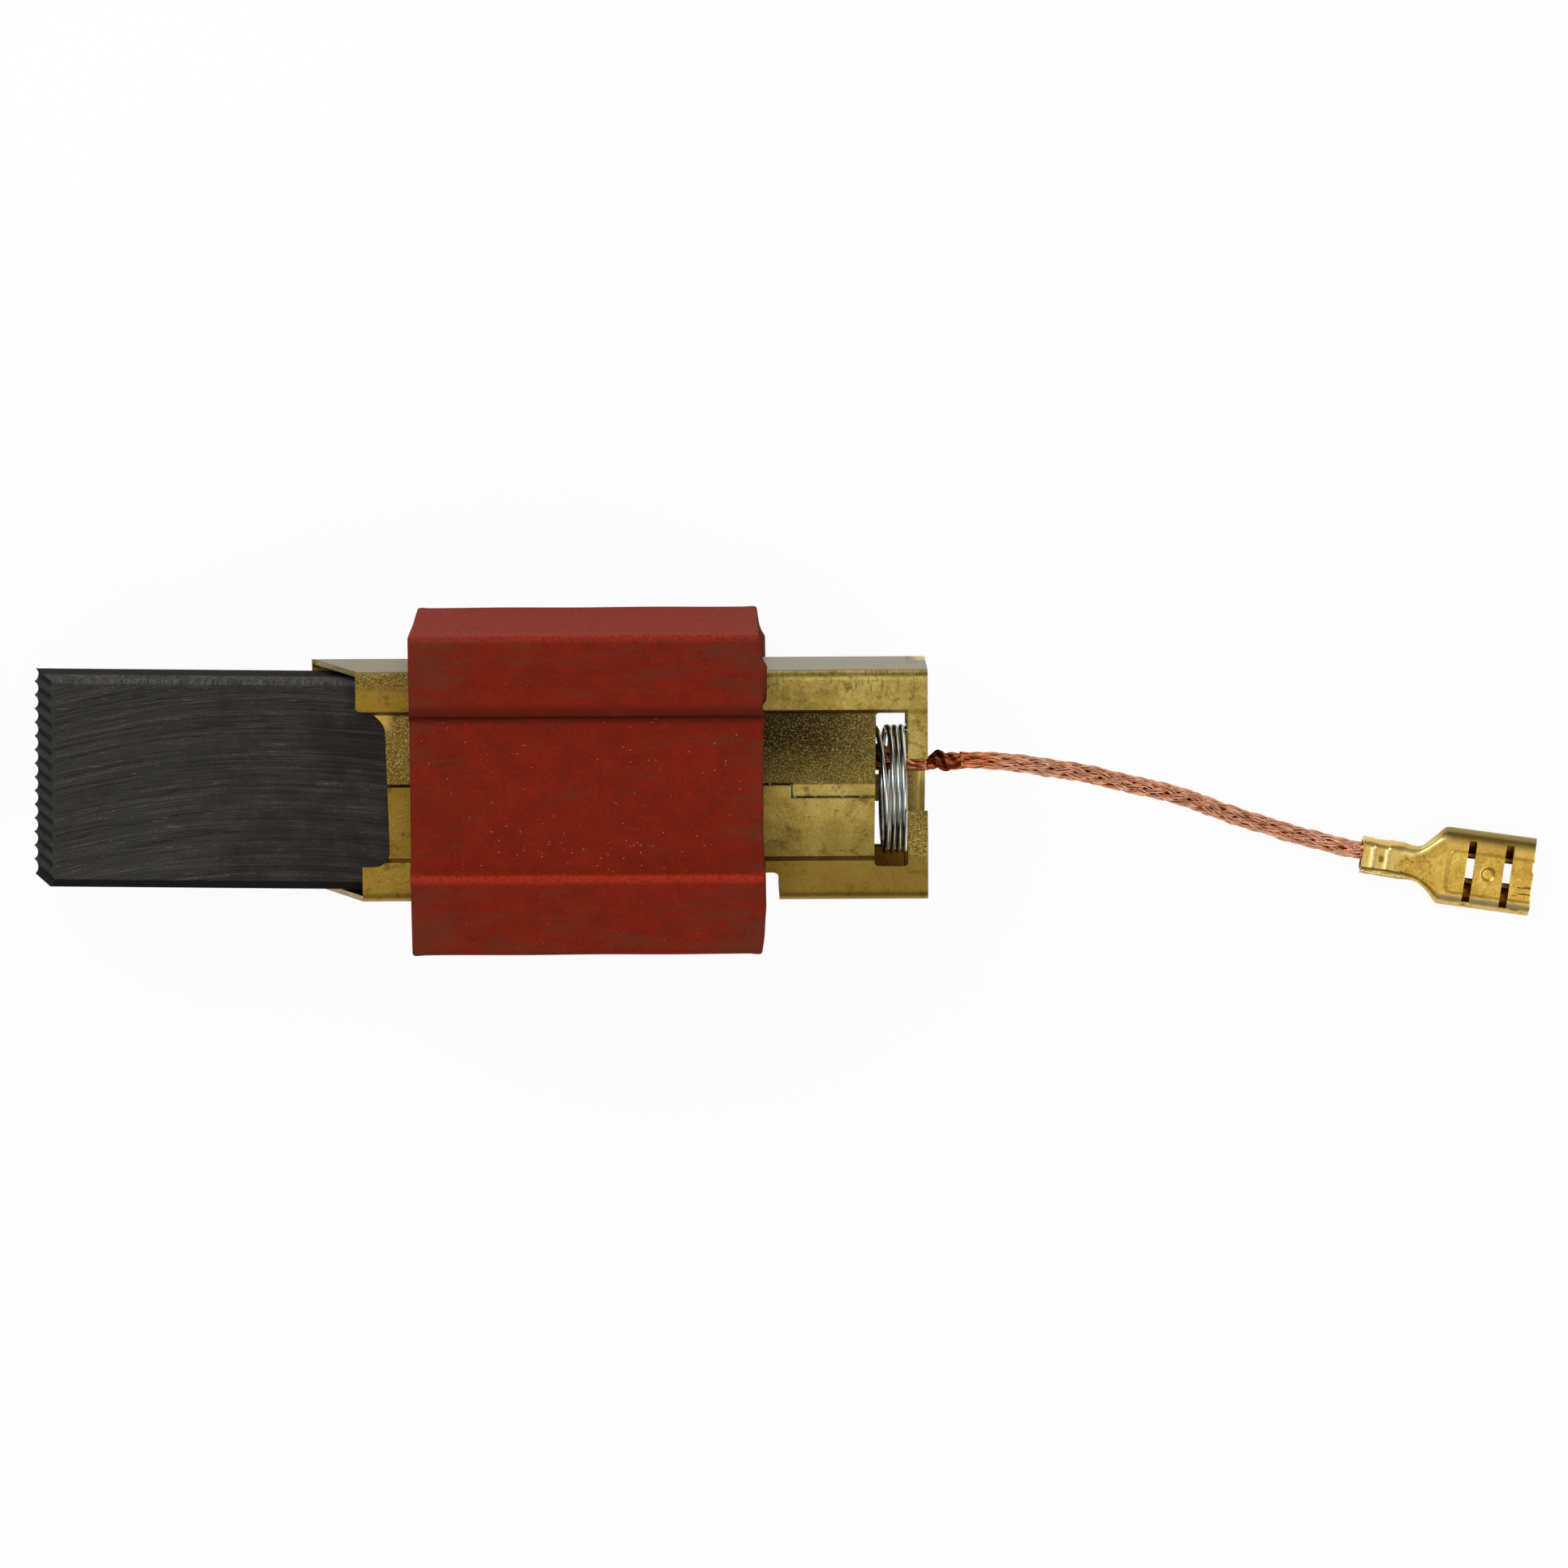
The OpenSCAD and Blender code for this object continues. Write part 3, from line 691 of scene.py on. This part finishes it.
class CARBONBRUSH_OT_stage(bpy.types.Operator):
    """Sets the camera, the lamps, the table and the background"""

    bl_idname = "carbon_brush.stage"
    bl_label = "Stage"

    def execute(self, context):
        scene = context.scene
        scene.view_settings.view_transform = "Standard"
        white = tuple(scene.carbon_brush.backdrop) + (1,)

        deselect()
        bpy.ops.object.camera_add(
            location=(0.018, 0.07625, 0.7373),
            rotation=[math.radians(a) for a in (-6.048, -0.476, -0.262)])
        camera = context.object
        camera.name = "camera"
        camera.data.lens = 216.63
        camera.data.sensor_width = 36
        camera.data.clip_start = 0.01
        scene.camera = camera

        # soft boxes: a wide one overhead to the left, a weaker one at the right
        for name, place, aim, size, watts in [
                ("key_box", (-0.12, 0.16, 0.34), (0.01, 0, 0.01), 0.26, 0.55),
                ("fill_box", (0.2, -0.1, 0.3), (0.01, 0, 0.01), 0.22, 0.2)]:
            bpy.ops.object.light_add(type="AREA", location=place)
            lamp = context.object
            lamp.name = name
            lamp.data.size = size
            lamp.data.energy = watts
            lamp.rotation_euler = (Vector(aim) - Vector(place)).to_track_quat("-Z", "Y").to_euler()

        world = scene.world or bpy.data.worlds.new("studio")
        scene.world = world
        node = empty(world)
        # mirrored rays find a pale horizon, a darker room above it and a pale ceiling
        rays = node("LightPath")
        height = node("SeparateXYZ", node("TexCoord").outputs["Generated"]).outputs["Z"]
        room = node("ValToRGB", Fac=height, stops=[
            (0.0, 0.6), (0.15, 0.32), (0.4, 0.24), (0.75, 0.32), (0.95, 0.5)])
        level = node("MapRange", Value=self.seen(node, rays), To_Min=0.55, To_Max=1.0)
        mirrored = node("MapRange", Value=rays.outputs["Is Glossy Ray"], To_Min=1.0, To_Max=room)
        background = node("Background", Color=white,
                          Strength=node("Math MULTIPLY", level, mirrored))
        node("OutputWorld", Surface=background)

        deselect()
        bpy.ops.mesh.primitive_plane_add(size=3)
        floor = named("table")
        material = bpy.data.materials.new("seamless_white_paper")
        node = empty(material)
        seen = self.seen(node, node("LightPath"))
        mixed = node("MixShader", node("Math MULTIPLY", seen, 0.93),
                     node("BsdfDiffuse", Color=white),
                     node("Emission", Color=white, Strength=1.0))
        node("OutputMaterial", Surface=mixed)
        floor.data.materials.append(material)
        return {"FINISHED"}

    def seen(self, node, rays):
        """1 for rays that show a background: straight, mirrored, or through glass."""
        rays = rays.outputs
        mirrored = node("Math MAXIMUM", rays["Is Glossy Ray"], rays["Is Transmission Ray"])
        return node("Math MAXIMUM", rays["Is Camera Ray"], mirrored)


class CARBONBRUSH_OT_terminal(bpy.types.Operator):
    """Adds the push-on terminal at the end of the lead"""

    bl_idname = "carbon_brush.terminal"
    bl_label = "Terminal"

    # along the terminal: half widths at +y and -y, radius of the bend, its sweep in degrees,
    # and the straight run after it
    STATIONS = [
        (0.0, 1.5, 1.45, 1.12, 180, 0.36), (0.25, 1.44, 1.45, 1.12, 180, 0.33),
        (0.8, 1.42, 1.45, 1.12, 180, 0.32), (0.95, 1.37, 1.42, 1.09, 180, 0.3),
        (2.0, 1.36, 1.42, 1.09, 180, 0.3), (2.15, 1.41, 1.46, 1.12, 180, 0.32),
        (3.3, 1.38, 1.48, 1.1, 180, 0.32), (3.8, 1.27, 1.5, 0.95, 165, 0.5),
        (4.2, 1.24, 1.5, 0.8, 130, 0.7), (4.6, 1.36, 1.6, 0.7, 105, 0.8),
        (5.1, 1.75, 1.9, 0.7, 95, 0.75), (5.6, 2.3, 2.35, 0.8, 95, 0.6),
        (6.0, 2.78, 2.78, 0.95, 115, 0.4), (6.3, 3.02, 3.05, 1.1, 150, 0.2),
        (6.6, 3.08, 3.08, 1.15, 200, 0.05), (7.1, 3.08, 3.08, 1.15, 262, 0),
        (13.5, 3.08, 3.08, 1.15, 266, 0),
    ]
    HEIGHT, SHEET = 2.3, 0.35

    def execute(self, context):
        stations = np.array(self.STATIONS, float)
        along = np.unique(np.round(np.concatenate([
            np.linspace(0, 7.2, 73), np.linspace(7.2, 13.5, 70)]), 4))
        sheet = [np.interp(along, stations[:, 0], stations[:, k]) for k in range(1, 6)]
        rows = [self.section(x, *values) for x, *values in zip(along, *sheet)]
        terminal = grid("terminal", len(along) - 1, len(rows[0]) - 1,
                        lambda i, j: self.pressed(along[i], *rows[i][j]))
        outwards_from_above(terminal)
        modify(terminal, "SOLIDIFY", thickness=self.SHEET * MM, offset=-1,
               use_even_offset=True, use_quality_normals=True)
        half_slot = 0.31
        for x, low, high in [(8.5, -2.55, 2.0), (11.45, -2.3, 2.05)]:
            cut(terminal, block((x - half_slot, low - half_slot, 1.55),
                                (x + half_slot, high + half_slot, 4), 0.305))
        modify(terminal, "BEVEL", width=0.04 * MM, segments=2, limit_method="ANGLE",
               angle_limit=math.radians(50))
        roll = self.rolled_edge()
        activate(terminal)
        roll.select_set(True)
        bpy.ops.object.join()
        terminal.data.transform(Matrix.Translation(Vector((*TERMINAL_PLACE, 0)) * MM)
                                @ Matrix.Rotation(math.radians(TERMINAL_TURN), 4, "Z"))
        smooth(terminal, SHARP)
        finish_piece(terminal, "brush", "terminal_brass", terminal_brass(), "push_on_terminal")
        return {"FINISHED"}

    def section(self, x, upper, lower, radius, sweep, tail):
        """Points across the sheet's outer face, from one free edge over the top to the other."""
        top = self.HEIGHT
        shoulder = radius * np.interp(x, [3.4, 6.2], [0.62, 1.0])
        half = {}
        for sign, width in ((1, upper), (-1, lower)):
            points = [(t * (width - shoulder), top) for t in np.linspace(0, 1, 19)]
            for a in np.radians(np.linspace(0, sweep, 31))[1:]:
                points.append((width - shoulder + shoulder * math.sin(a),
                               top - radius + radius * math.cos(a)))
            last, end = points[-1], math.radians(sweep)
            for t in np.linspace(0, tail, 7)[1:]:
                points.append((last[0] + t * math.cos(end), last[1] - t * math.sin(end)))
            half[sign] = [(sign * y, z) for y, z in points]
        return list(reversed(half[-1])) + half[1][1:]

    def pressed(self, x, y, z):
        """Presses the panel and the dimple into the floor, and dents the open end."""
        top = step(self.HEIGHT - 0.05, self.HEIGHT, z)
        panel = step(6.72, 6.84, x) * step(-1.95, -1.83, y) * (
            1 - step(1.28, 1.4 + 0.6 * step(7.3, 8, x), y))
        corner = math.hypot(min(x - 7.3, 0), max(abs(y + 0.27) - 1.1, 0))
        panel *= 1 - step(0.5, 0.62, corner)
        dimple = 1 - step(0.42, 0.54, math.hypot(x - 9.97, y + 0.15))
        # two grooves that the crimping tool leaves across the barrel
        groove = sum(math.exp(-((x - at) / 0.11) ** 2) for at in (0.8, 1.94))
        z += top * (0.05 * panel - 0.11 * dimple) - 0.06 * groove * step(1.6, 2.1, z)
        if x > 13.2:
            x += (x - 13.2) / 0.3 * (0.05 * math.sin(2.1 * y + 0.4) - 0.16 * (
                step(0.3, 0.5, y) * (1 - step(1.1, 1.3, y))) - 0.02 * y)
        z += 0.05 * math.sin(2.7 * x) * (1 - step(3.2, 3.8, x)) * step(0.9, 1.3, abs(y))
        return x, y, max(z, 0)

    def rolled_edge(self):
        """The lumpy edge where one wing of the crimp is rolled over the other."""
        draw = random.Random(11)
        x = np.linspace(-0.06, 4.1, 70)
        swell = sum(draw.uniform(0.2, 0.5) * np.sin(draw.uniform(2, 9) * x + draw.uniform(0, 6))
                    for _ in range(6))
        y = -1.22 - 0.03 * x + 0.02 * swell
        z = 1.97 + 0.03 * swell - 0.05 * x
        radius = 0.2 * (1 + 0.2 * swell) * np.clip((4.15 - x) / 0.8, 0.15, 1)
        return wires("rolled_edge", [np.stack([x, y, z], axis=1)], [radius], None, 12)


class CARBONBRUSH_OT_lead(bpy.types.Operator):
    """Braids the copper lead, its knot, and the shunt inside the spring"""

    bl_idname = "carbon_brush.lead"
    bl_label = "Lead"

    def execute(self, context):
        settings = context.scene.carbon_brush
        finish = copper()
        radius = settings.braid / MM / 2
        lay = settings.braid_lay / MM
        line, at = curve_through(LEAD_PATH, 0.28)
        swell = np.interp(at, [0, 1.5, 6], [0.9, 0.93, 1.0])
        # painted shade: the lead is painted darker for its first few millimetres from the knot
        light = np.interp(at, [0, 1.5, 6], [0.46, 0.62, 1])
        lead = self.braid("lead_braid", line, at, radius * swell, lay, settings.wires, light)
        finish_piece(lead, "brush", "copper_braid", finish, "shunt_lead")
        inner, inner_at = curve_through(INNER_PATH, 0.3)
        swell = np.interp(inner[:, 0], [27, 29.5, 31.2, 32.6, 33.6], [1, 1.2, 1.45, 1.0, 0.72])
        # painted shade: the braid inside the holder is painted darker
        light = np.interp(inner[:, 0], [31, 33.5], [0.36, 0.6])
        shunt = self.braid("inner_braid", inner, inner_at, radius * swell, lay, settings.wires,
                           light)
        finish_piece(shunt, "brush", "copper_braid", finish, "inner_shunt")
        knot = self.knot("lead_knot")
        finish_piece(knot, "brush", "copper_braid", finish, "shunt_knot")
        return {"FINISHED"}

    def braid(self, name, line, at, radius, lay, count, light):
        """Two families of strands that pass over and under each other.

        A strand is a flat oval bundle whose wires turn slowly about its own middle. light is
        the painted shade at each point of the line: how bright the copper is painted there.
        """
        draw = random.Random(name)
        strands = 6
        wire, wave, half_wide, half_high = 0.055, 0.085, 0.225, 0.08
        # a wire's painted shading: its middle, its rise outwards, its ripple and its spread
        tone, rise, ripple, spread = 0.55, 3.3, 0.12, 0.13
        middle = radius - wire - wave - half_high
        side, up = frames_of(line)
        lines, tones = [], []
        for turn in (1, -1):
            for strand in range(strands):
                shift = draw.uniform(-0.09, 0.09)
                bright = draw.uniform(-0.08, 0.08)
                for k in range(count):
                    own = (2 * math.pi * (k + draw.uniform(-0.2, 0.2)) / count
                           + 2 * math.pi * at / (6 + 0.7 * strand) * turn)
                    lag = half_wide * np.cos(own) / radius
                    drift = [draw.uniform(0, 2 * math.pi) for _ in range(3)]
                    angle = (turn * 2 * math.pi * at / lay + strand * 2 * math.pi / strands
                             + shift + lag + 0.04 * np.sin(1.9 * at + drift[0]))
                    over = np.cos(2 * strands * math.pi * at / lay
                                  + turn * strands / 2 * (lag + shift))
                    lift = turn * wave * over + half_high * np.sin(own)
                    lift += 0.015 * np.sin(3.1 * at + drift[1])
                    out = middle + lift
                    lines.append(line + out[:, None] * (
                        np.cos(angle)[:, None] * side + np.sin(angle)[:, None] * up))
                    tones.append(np.clip(
                        light * (tone + bright + rise * lift
                                 + ripple * np.sin(2.3 * at + drift[2])
                                 + draw.uniform(-spread, spread)), 0.02, 1))
        # a dark core, painted shade, fills the braid's middle
        lines.append(line)
        tones.append(np.full(len(line), 0.12))
        core = middle - wave - half_high + 0.08
        return wires(name, lines, [wire] * (len(lines) - 1) + [core], tones, 5)

    def knot(self, name):
        """Three bundles of wires, twisted half a turn round each other."""
        draw = random.Random(3)
        wire = 0.055
        stations = np.array(KNOT_STATIONS, float)
        x = np.linspace(stations[0, 0], stations[-1, 0], 45)
        y, reach, angle = (self.eased(x, stations[:, 0], stations[:, k]) for k in (1, 2, 3))
        t = (x - x[0]) / (x[-1] - x[0])
        lines, tones = [], []
        for bundle, shade in ((0, -0.07), (120, 0.0), (240, 0.1)):
            a = np.radians(angle + bundle)
            centre = np.stack([x, y + reach * np.sin(a), KNOT_Z + reach * np.cos(a)], axis=1)
            for ring, number in ((0.34, 18), (0.22, 10)):
                size = ring * np.interp(t, [0, 0.2, 0.7, 1], [0.75, 1.05, 1.05, 0.95])
                for k in range(number):
                    twist = 2 * math.pi * k / number + 3.2 * t + draw.uniform(-0.12, 0.12)
                    shape = size + 0.015 * np.sin(9 * t + draw.uniform(0, 6))
                    lines.append(centre + shape[:, None] * np.stack(
                        [0.25 * np.sin(twist + 1), np.sin(twist), np.cos(twist)], axis=1))
                    # painted light: wires higher on the knot are painted lighter
                    high = (np.cos(a) * reach + np.cos(twist) * shape) / 0.75
                    tones.append(np.clip(
                        0.2 + shade + 0.14 * high + draw.uniform(-0.12, 0.12), 0, 1))
        return wires(name, lines, [wire] * len(lines), tones, 5)

    def eased(self, x, places, values):
        """Runs smoothly through values at places, as a fair curve by hand would."""
        coarse = np.interp(x, places, values)
        kernel = np.hanning(9) / np.hanning(9).sum()
        return np.convolve(np.pad(coarse, 4, mode="edge"), kernel, mode="valid")


class CARBONBRUSH_OT_carbon(bpy.types.Operator):
    """Shapes the carbon block and finishes the tamped plug in its back"""

    bl_idname = "carbon_brush.carbon"
    bl_label = "Carbon"

    def execute(self, context):
        settings = context.scene.carbon_brush
        carbon = copy_of("carbon_block", "carbon")
        modify(carbon, "BEVEL", width=settings.carbon_edge, segments=2, limit_method="ANGLE",
               angle_limit=math.radians(30))
        smooth(carbon, SHARP)
        flats(carbon)
        finish_piece(carbon, "brush", "carbon", graphite(), "carbon_block")
        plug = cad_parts["tamped_plug"]
        plug.data.materials.clear()
        plug.data.materials.append(tamping_powder())
        return {"FINISHED"}


class CARBONBRUSH_OT_holder(bpy.types.Operator):
    """Breaks the edges of the folded holder and gives it its aged brass"""

    bl_idname = "carbon_brush.holder"
    bl_label = "Holder"

    def execute(self, context):
        settings = context.scene.carbon_brush
        holder = copy_of("brush_holder", "holder")
        self.round_corner(holder)
        modify(holder, "BEVEL", width=settings.edge, segments=2, limit_method="ANGLE",
               angle_limit=math.radians(30))
        smooth(holder, SHARP)
        flats(holder)
        finish_piece(holder, "holder", "holder_brass", holder_brass(), "brush_holder")
        return {"FINISHED"}

    # the sheet's section at the far step of the front wall, in Y and Z, in millimetres
    STEP = [(3.5, 18.6), (5.5, 18.6), (5.8, 19.1), (6.3, 19.1), (6.3, 18.7), (6.0265, 18.7),
            (5.7265, 18.2), (3.5, 18.2)]

    def round_corner(self, holder):
        """Brings the far corner of the mouth to the wide radius that the press gives it."""
        radius, end = 2.05, -6.7
        middle = (-8.86, 5.83 - radius)
        corner = grid("corner", 1, len(self.STEP), lambda i, j: (
            (middle[0], end)[i], *self.STEP[j % len(self.STEP)]))
        with editing(corner):
            bpy.ops.mesh.remove_doubles(threshold=0.001 * MM)
            bpy.ops.mesh.fill_holes(sides=0)
        outwards(corner)
        cut(corner, self.drum(middle, radius, 96))
        cut(holder, corner, "UNION")
        # the wall's own corner is broken by the press too
        tip = block((-9.3, 5.7, 18.4), (-8.85, 6.15, 19.3))
        cut(tip, self.drum((-8.85, 6.15), 0.3, 48))
        cut(holder, tip)
        weld(holder)

    def drum(self, middle, radius, sides):
        """An upright round cutter through the front wall."""
        deselect()
        bpy.ops.mesh.primitive_cylinder_add(
            vertices=sides, radius=radius * MM, depth=4 * MM,
            location=Vector((*middle, 18.6)) * MM)
        return named("drum")


class CARBONBRUSH_OT_sleeve(bpy.types.Operator):
    """Moulds the red insulating sleeve with its rails, panels and worn ends"""

    bl_idname = "carbon_brush.sleeve"
    bl_label = "Sleeve"

    def execute(self, context):
        settings = context.scene.carbon_brush
        outer, bore = self.sections()
        loop = self.profile(settings.sleeve_edge / MM)
        sleeve = grid("sleeve", len(loop), len(outer), lambda i, j: self.point(
            loop[i % len(loop)], outer[j % len(outer)], bore[j % len(outer)]))
        with editing(sleeve):
            bpy.ops.mesh.remove_doubles(threshold=0.001 * MM)
        outwards(sleeve)
        smooth(sleeve, 50)
        finish_piece(sleeve, "holder", "red_insulation", red_sleeve(), "insulating_sleeve")
        return {"FINISHED"}

    def sections(self):
        """Points round the outside and round the bore that belong together."""
        outer, bore = [], []
        wide, deep, corner, fillet = 12.2, 13.0, 0.5, 0.8
        for side in range(4):
            turn = Matrix.Rotation(-side * math.pi / 2, 2)
            long = side % 2 == 0
            half = (wide, deep) if long else (deep, wide)
            hole = (HALF_W, HALF_D) if long else (HALF_D, HALF_W)
            flat = half[0] - corner
            places = list(np.linspace(-flat, flat, 54))
            if long:
                places = sorted(places + [s * v for s in (-1, 1) for v in
                                          (5.7, 5.8, 5.87, 5.94, 6.0, 6.06, 6.13, 6.22)])
            for p in places:
                sunk = 0.7 * (1 - step(5.8, 6.15, abs(p))) if long else 0
                outer.append(turn @ Vector((p, half[1] - sunk)))
                bore.append(turn @ Vector((p / flat * (hole[0] - fillet), hole[1])))
            for k in range(1, 6):
                a = math.pi / 2 * k / 6
                across = Vector((math.sin(a), math.cos(a)))
                outer.append(turn @ (Vector((flat, half[1] - corner)) + corner * across))
                bore.append(turn @ (Vector(hole) - Vector((fillet, fillet)) + fillet * across))
        return outer, bore

    def profile(self, edge):
        """Stations of a closed loop: out along the outside and back along the bore.

        Each is a share of the length, millimetres added to it, millimetres in from the outside
        and a share of the wall.
        """
        arc = [math.pi / 2 * k / 4 for k in range(5)]
        loop = [(t, edge * (1 - 2 * t), 0, 0) for t in np.linspace(0, 1, 80)]
        loop += [(1, -edge + edge * math.sin(a), edge * (1 - math.cos(a)), 0) for a in arc[1:]]
        loop += [(1, 0, edge * (1 - w), w) for w in np.linspace(0.1, 1, 8)]
        loop += [(t, 0, 0, 1) for t in np.linspace(0.98, 0.02, 12)]
        loop += [(0, 0, edge * (1 - w), w) for w in np.linspace(1, 0.1, 8)]
        loop += [(0, edge - edge * math.sin(a), edge * (1 - math.cos(a)), 0)
                 for a in reversed(arc[1:])]
        return loop

    # how far the cut ends stand in from the full length, by place across, on the wide faces
    RIGHT_END = [(-12.2, 0.12), (-11, -0.05), (-9.6, -0.12), (-8.7, -0.2), (-7.6, -0.08), (-4, 0),
                 (4, -0.03), (5.6, 0), (6.2, -0.14), (6.8, 0.02), (8.9, 0.03), (9.8, -0.42),
                 (10.3, -0.1), (10.9, 0.12), (12.2, 0.3)]
    LEFT_END = [(-12.2, -0.02), (-7.2, -0.1), (-6.1, -0.16), (-5.2, -0.08), (4, -0.12),
                (12.2, -0.2)]

    def point(self, station, outside, hole):
        """Where a station of the profile lies on one line round the sleeve, in millimetres."""
        share, added, inset, wall = station
        run = hole - outside
        yz = outside + run * (wall + inset / run.length)
        low, high = SLEEVE_LOW.x, SLEEVE_HIGH.x
        low += np.interp(outside.x, *zip(*self.LEFT_END))
        high -= np.interp(outside.x, *zip(*self.RIGHT_END))
        x = low + share * (high - low) + added
        if not wall:
            # the moulding has sunk and waved a little
            wave = 0.03 * (math.sin(0.55 * x + 0.3 * outside.x) + math.sin(0.9 * outside.x + 1))
            yz += run.normalized() * (0.06 + wave) * min(1, inset / 0.3 + share * (1 - share) * 40)
            # a lip folded over at the left end of the near crease
            lip = math.exp(-((x + 4.35) / 0.35) ** 2 - ((outside.x + 6.3) / 0.5) ** 2)
            yz -= run.normalized() * 0.35 * lip * (outside.y > 0)
        return x, yz.x, yz.y + AXIS_Z


class CARBONBRUSH_OT_spring(bpy.types.Operator):
    """Winds the spring: its live turns, and the closed turns behind the window"""

    bl_idname = "carbon_brush.spring"
    bl_label = "Spring"

    def execute(self, context):
        wire = context.scene.carbon_brush.spring_wire / MM
        finish = steel()
        per_turn, turns, live, off_axis = 48, 11.8, 7.6, -0.9
        n = np.arange(0, round(turns * per_turn) + 1) / per_turn
        first = SPRING_START + wire / 2
        # front of each turn: closed at the carbon, open, then closed behind the window
        x = np.interp(n, [0, 1, 7.75, 8, 12], [first, first + wire + 0.03, 30.72, 31.3, 33.26])
        blend = np.hanning(per_turn // 3)
        x = np.convolve(np.pad(x, len(blend) // 2, mode="edge"), blend / blend.sum(),
                        mode="same")[len(blend) // 2:len(blend) // 2 + len(n)]
        a = 2 * math.pi * n
        x += np.interp(n, [7, 8.5, 11], [0, 0.3, 0.1]) * np.cos(a)
        radius = 5 - wire / 2
        line = np.stack([x, off_axis - radius * np.sin(a), AXIS_Z + radius * np.cos(a)], axis=1)
        split = int(live * per_turn)
        moving = wires("live_turns", [line[:split + 1]], [wire / 2], None, 14)
        finish_piece(moving, "holder", "spring_steel", finish, "brush_spring")
        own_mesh(moving)
        dead = wires("closed_turns", [line[split:]], [wire / 2], None, 14)
        finish_piece(dead, "holder", "spring_steel", finish, "brush_spring")
        return {"FINISHED"}


OPERATORS = [
    CARBONBRUSH_OT_stage, CARBONBRUSH_OT_terminal, CARBONBRUSH_OT_lead, CARBONBRUSH_OT_carbon,
    CARBONBRUSH_OT_holder, CARBONBRUSH_OT_sleeve, CARBONBRUSH_OT_spring,
]


class CARBONBRUSH_PT_panel(bpy.types.Panel):
    bl_idname = "CARBONBRUSH_PT_panel"
    bl_label = "Carbon Brush"
    bl_space_type = "VIEW_3D"
    bl_region_type = "UI"
    bl_category = "Carbon Brush"

    def draw(self, context):
        column = self.layout.column()
        for name in CARBONBRUSH_PG_settings.__annotations__:
            column.prop(context.scene.carbon_brush, name)
        for operator in OPERATORS:
            column.operator(operator.bl_idname)


CLASSES = [CARBONBRUSH_PG_settings, *OPERATORS, CARBONBRUSH_PT_panel]


def register():
    for one in CLASSES:
        bpy.utils.register_class(one)
    bpy.types.Scene.carbon_brush = PointerProperty(type=CARBONBRUSH_PG_settings)


def unregister():
    del bpy.types.Scene.carbon_brush
    for one in reversed(CLASSES):
        bpy.utils.unregister_class(one)


def main():
    register()
    for operator in OPERATORS:
        area, name = operator.bl_idname.split(".")
        getattr(getattr(bpy.ops, area), name)()


if __name__ == "__main__":
    main()
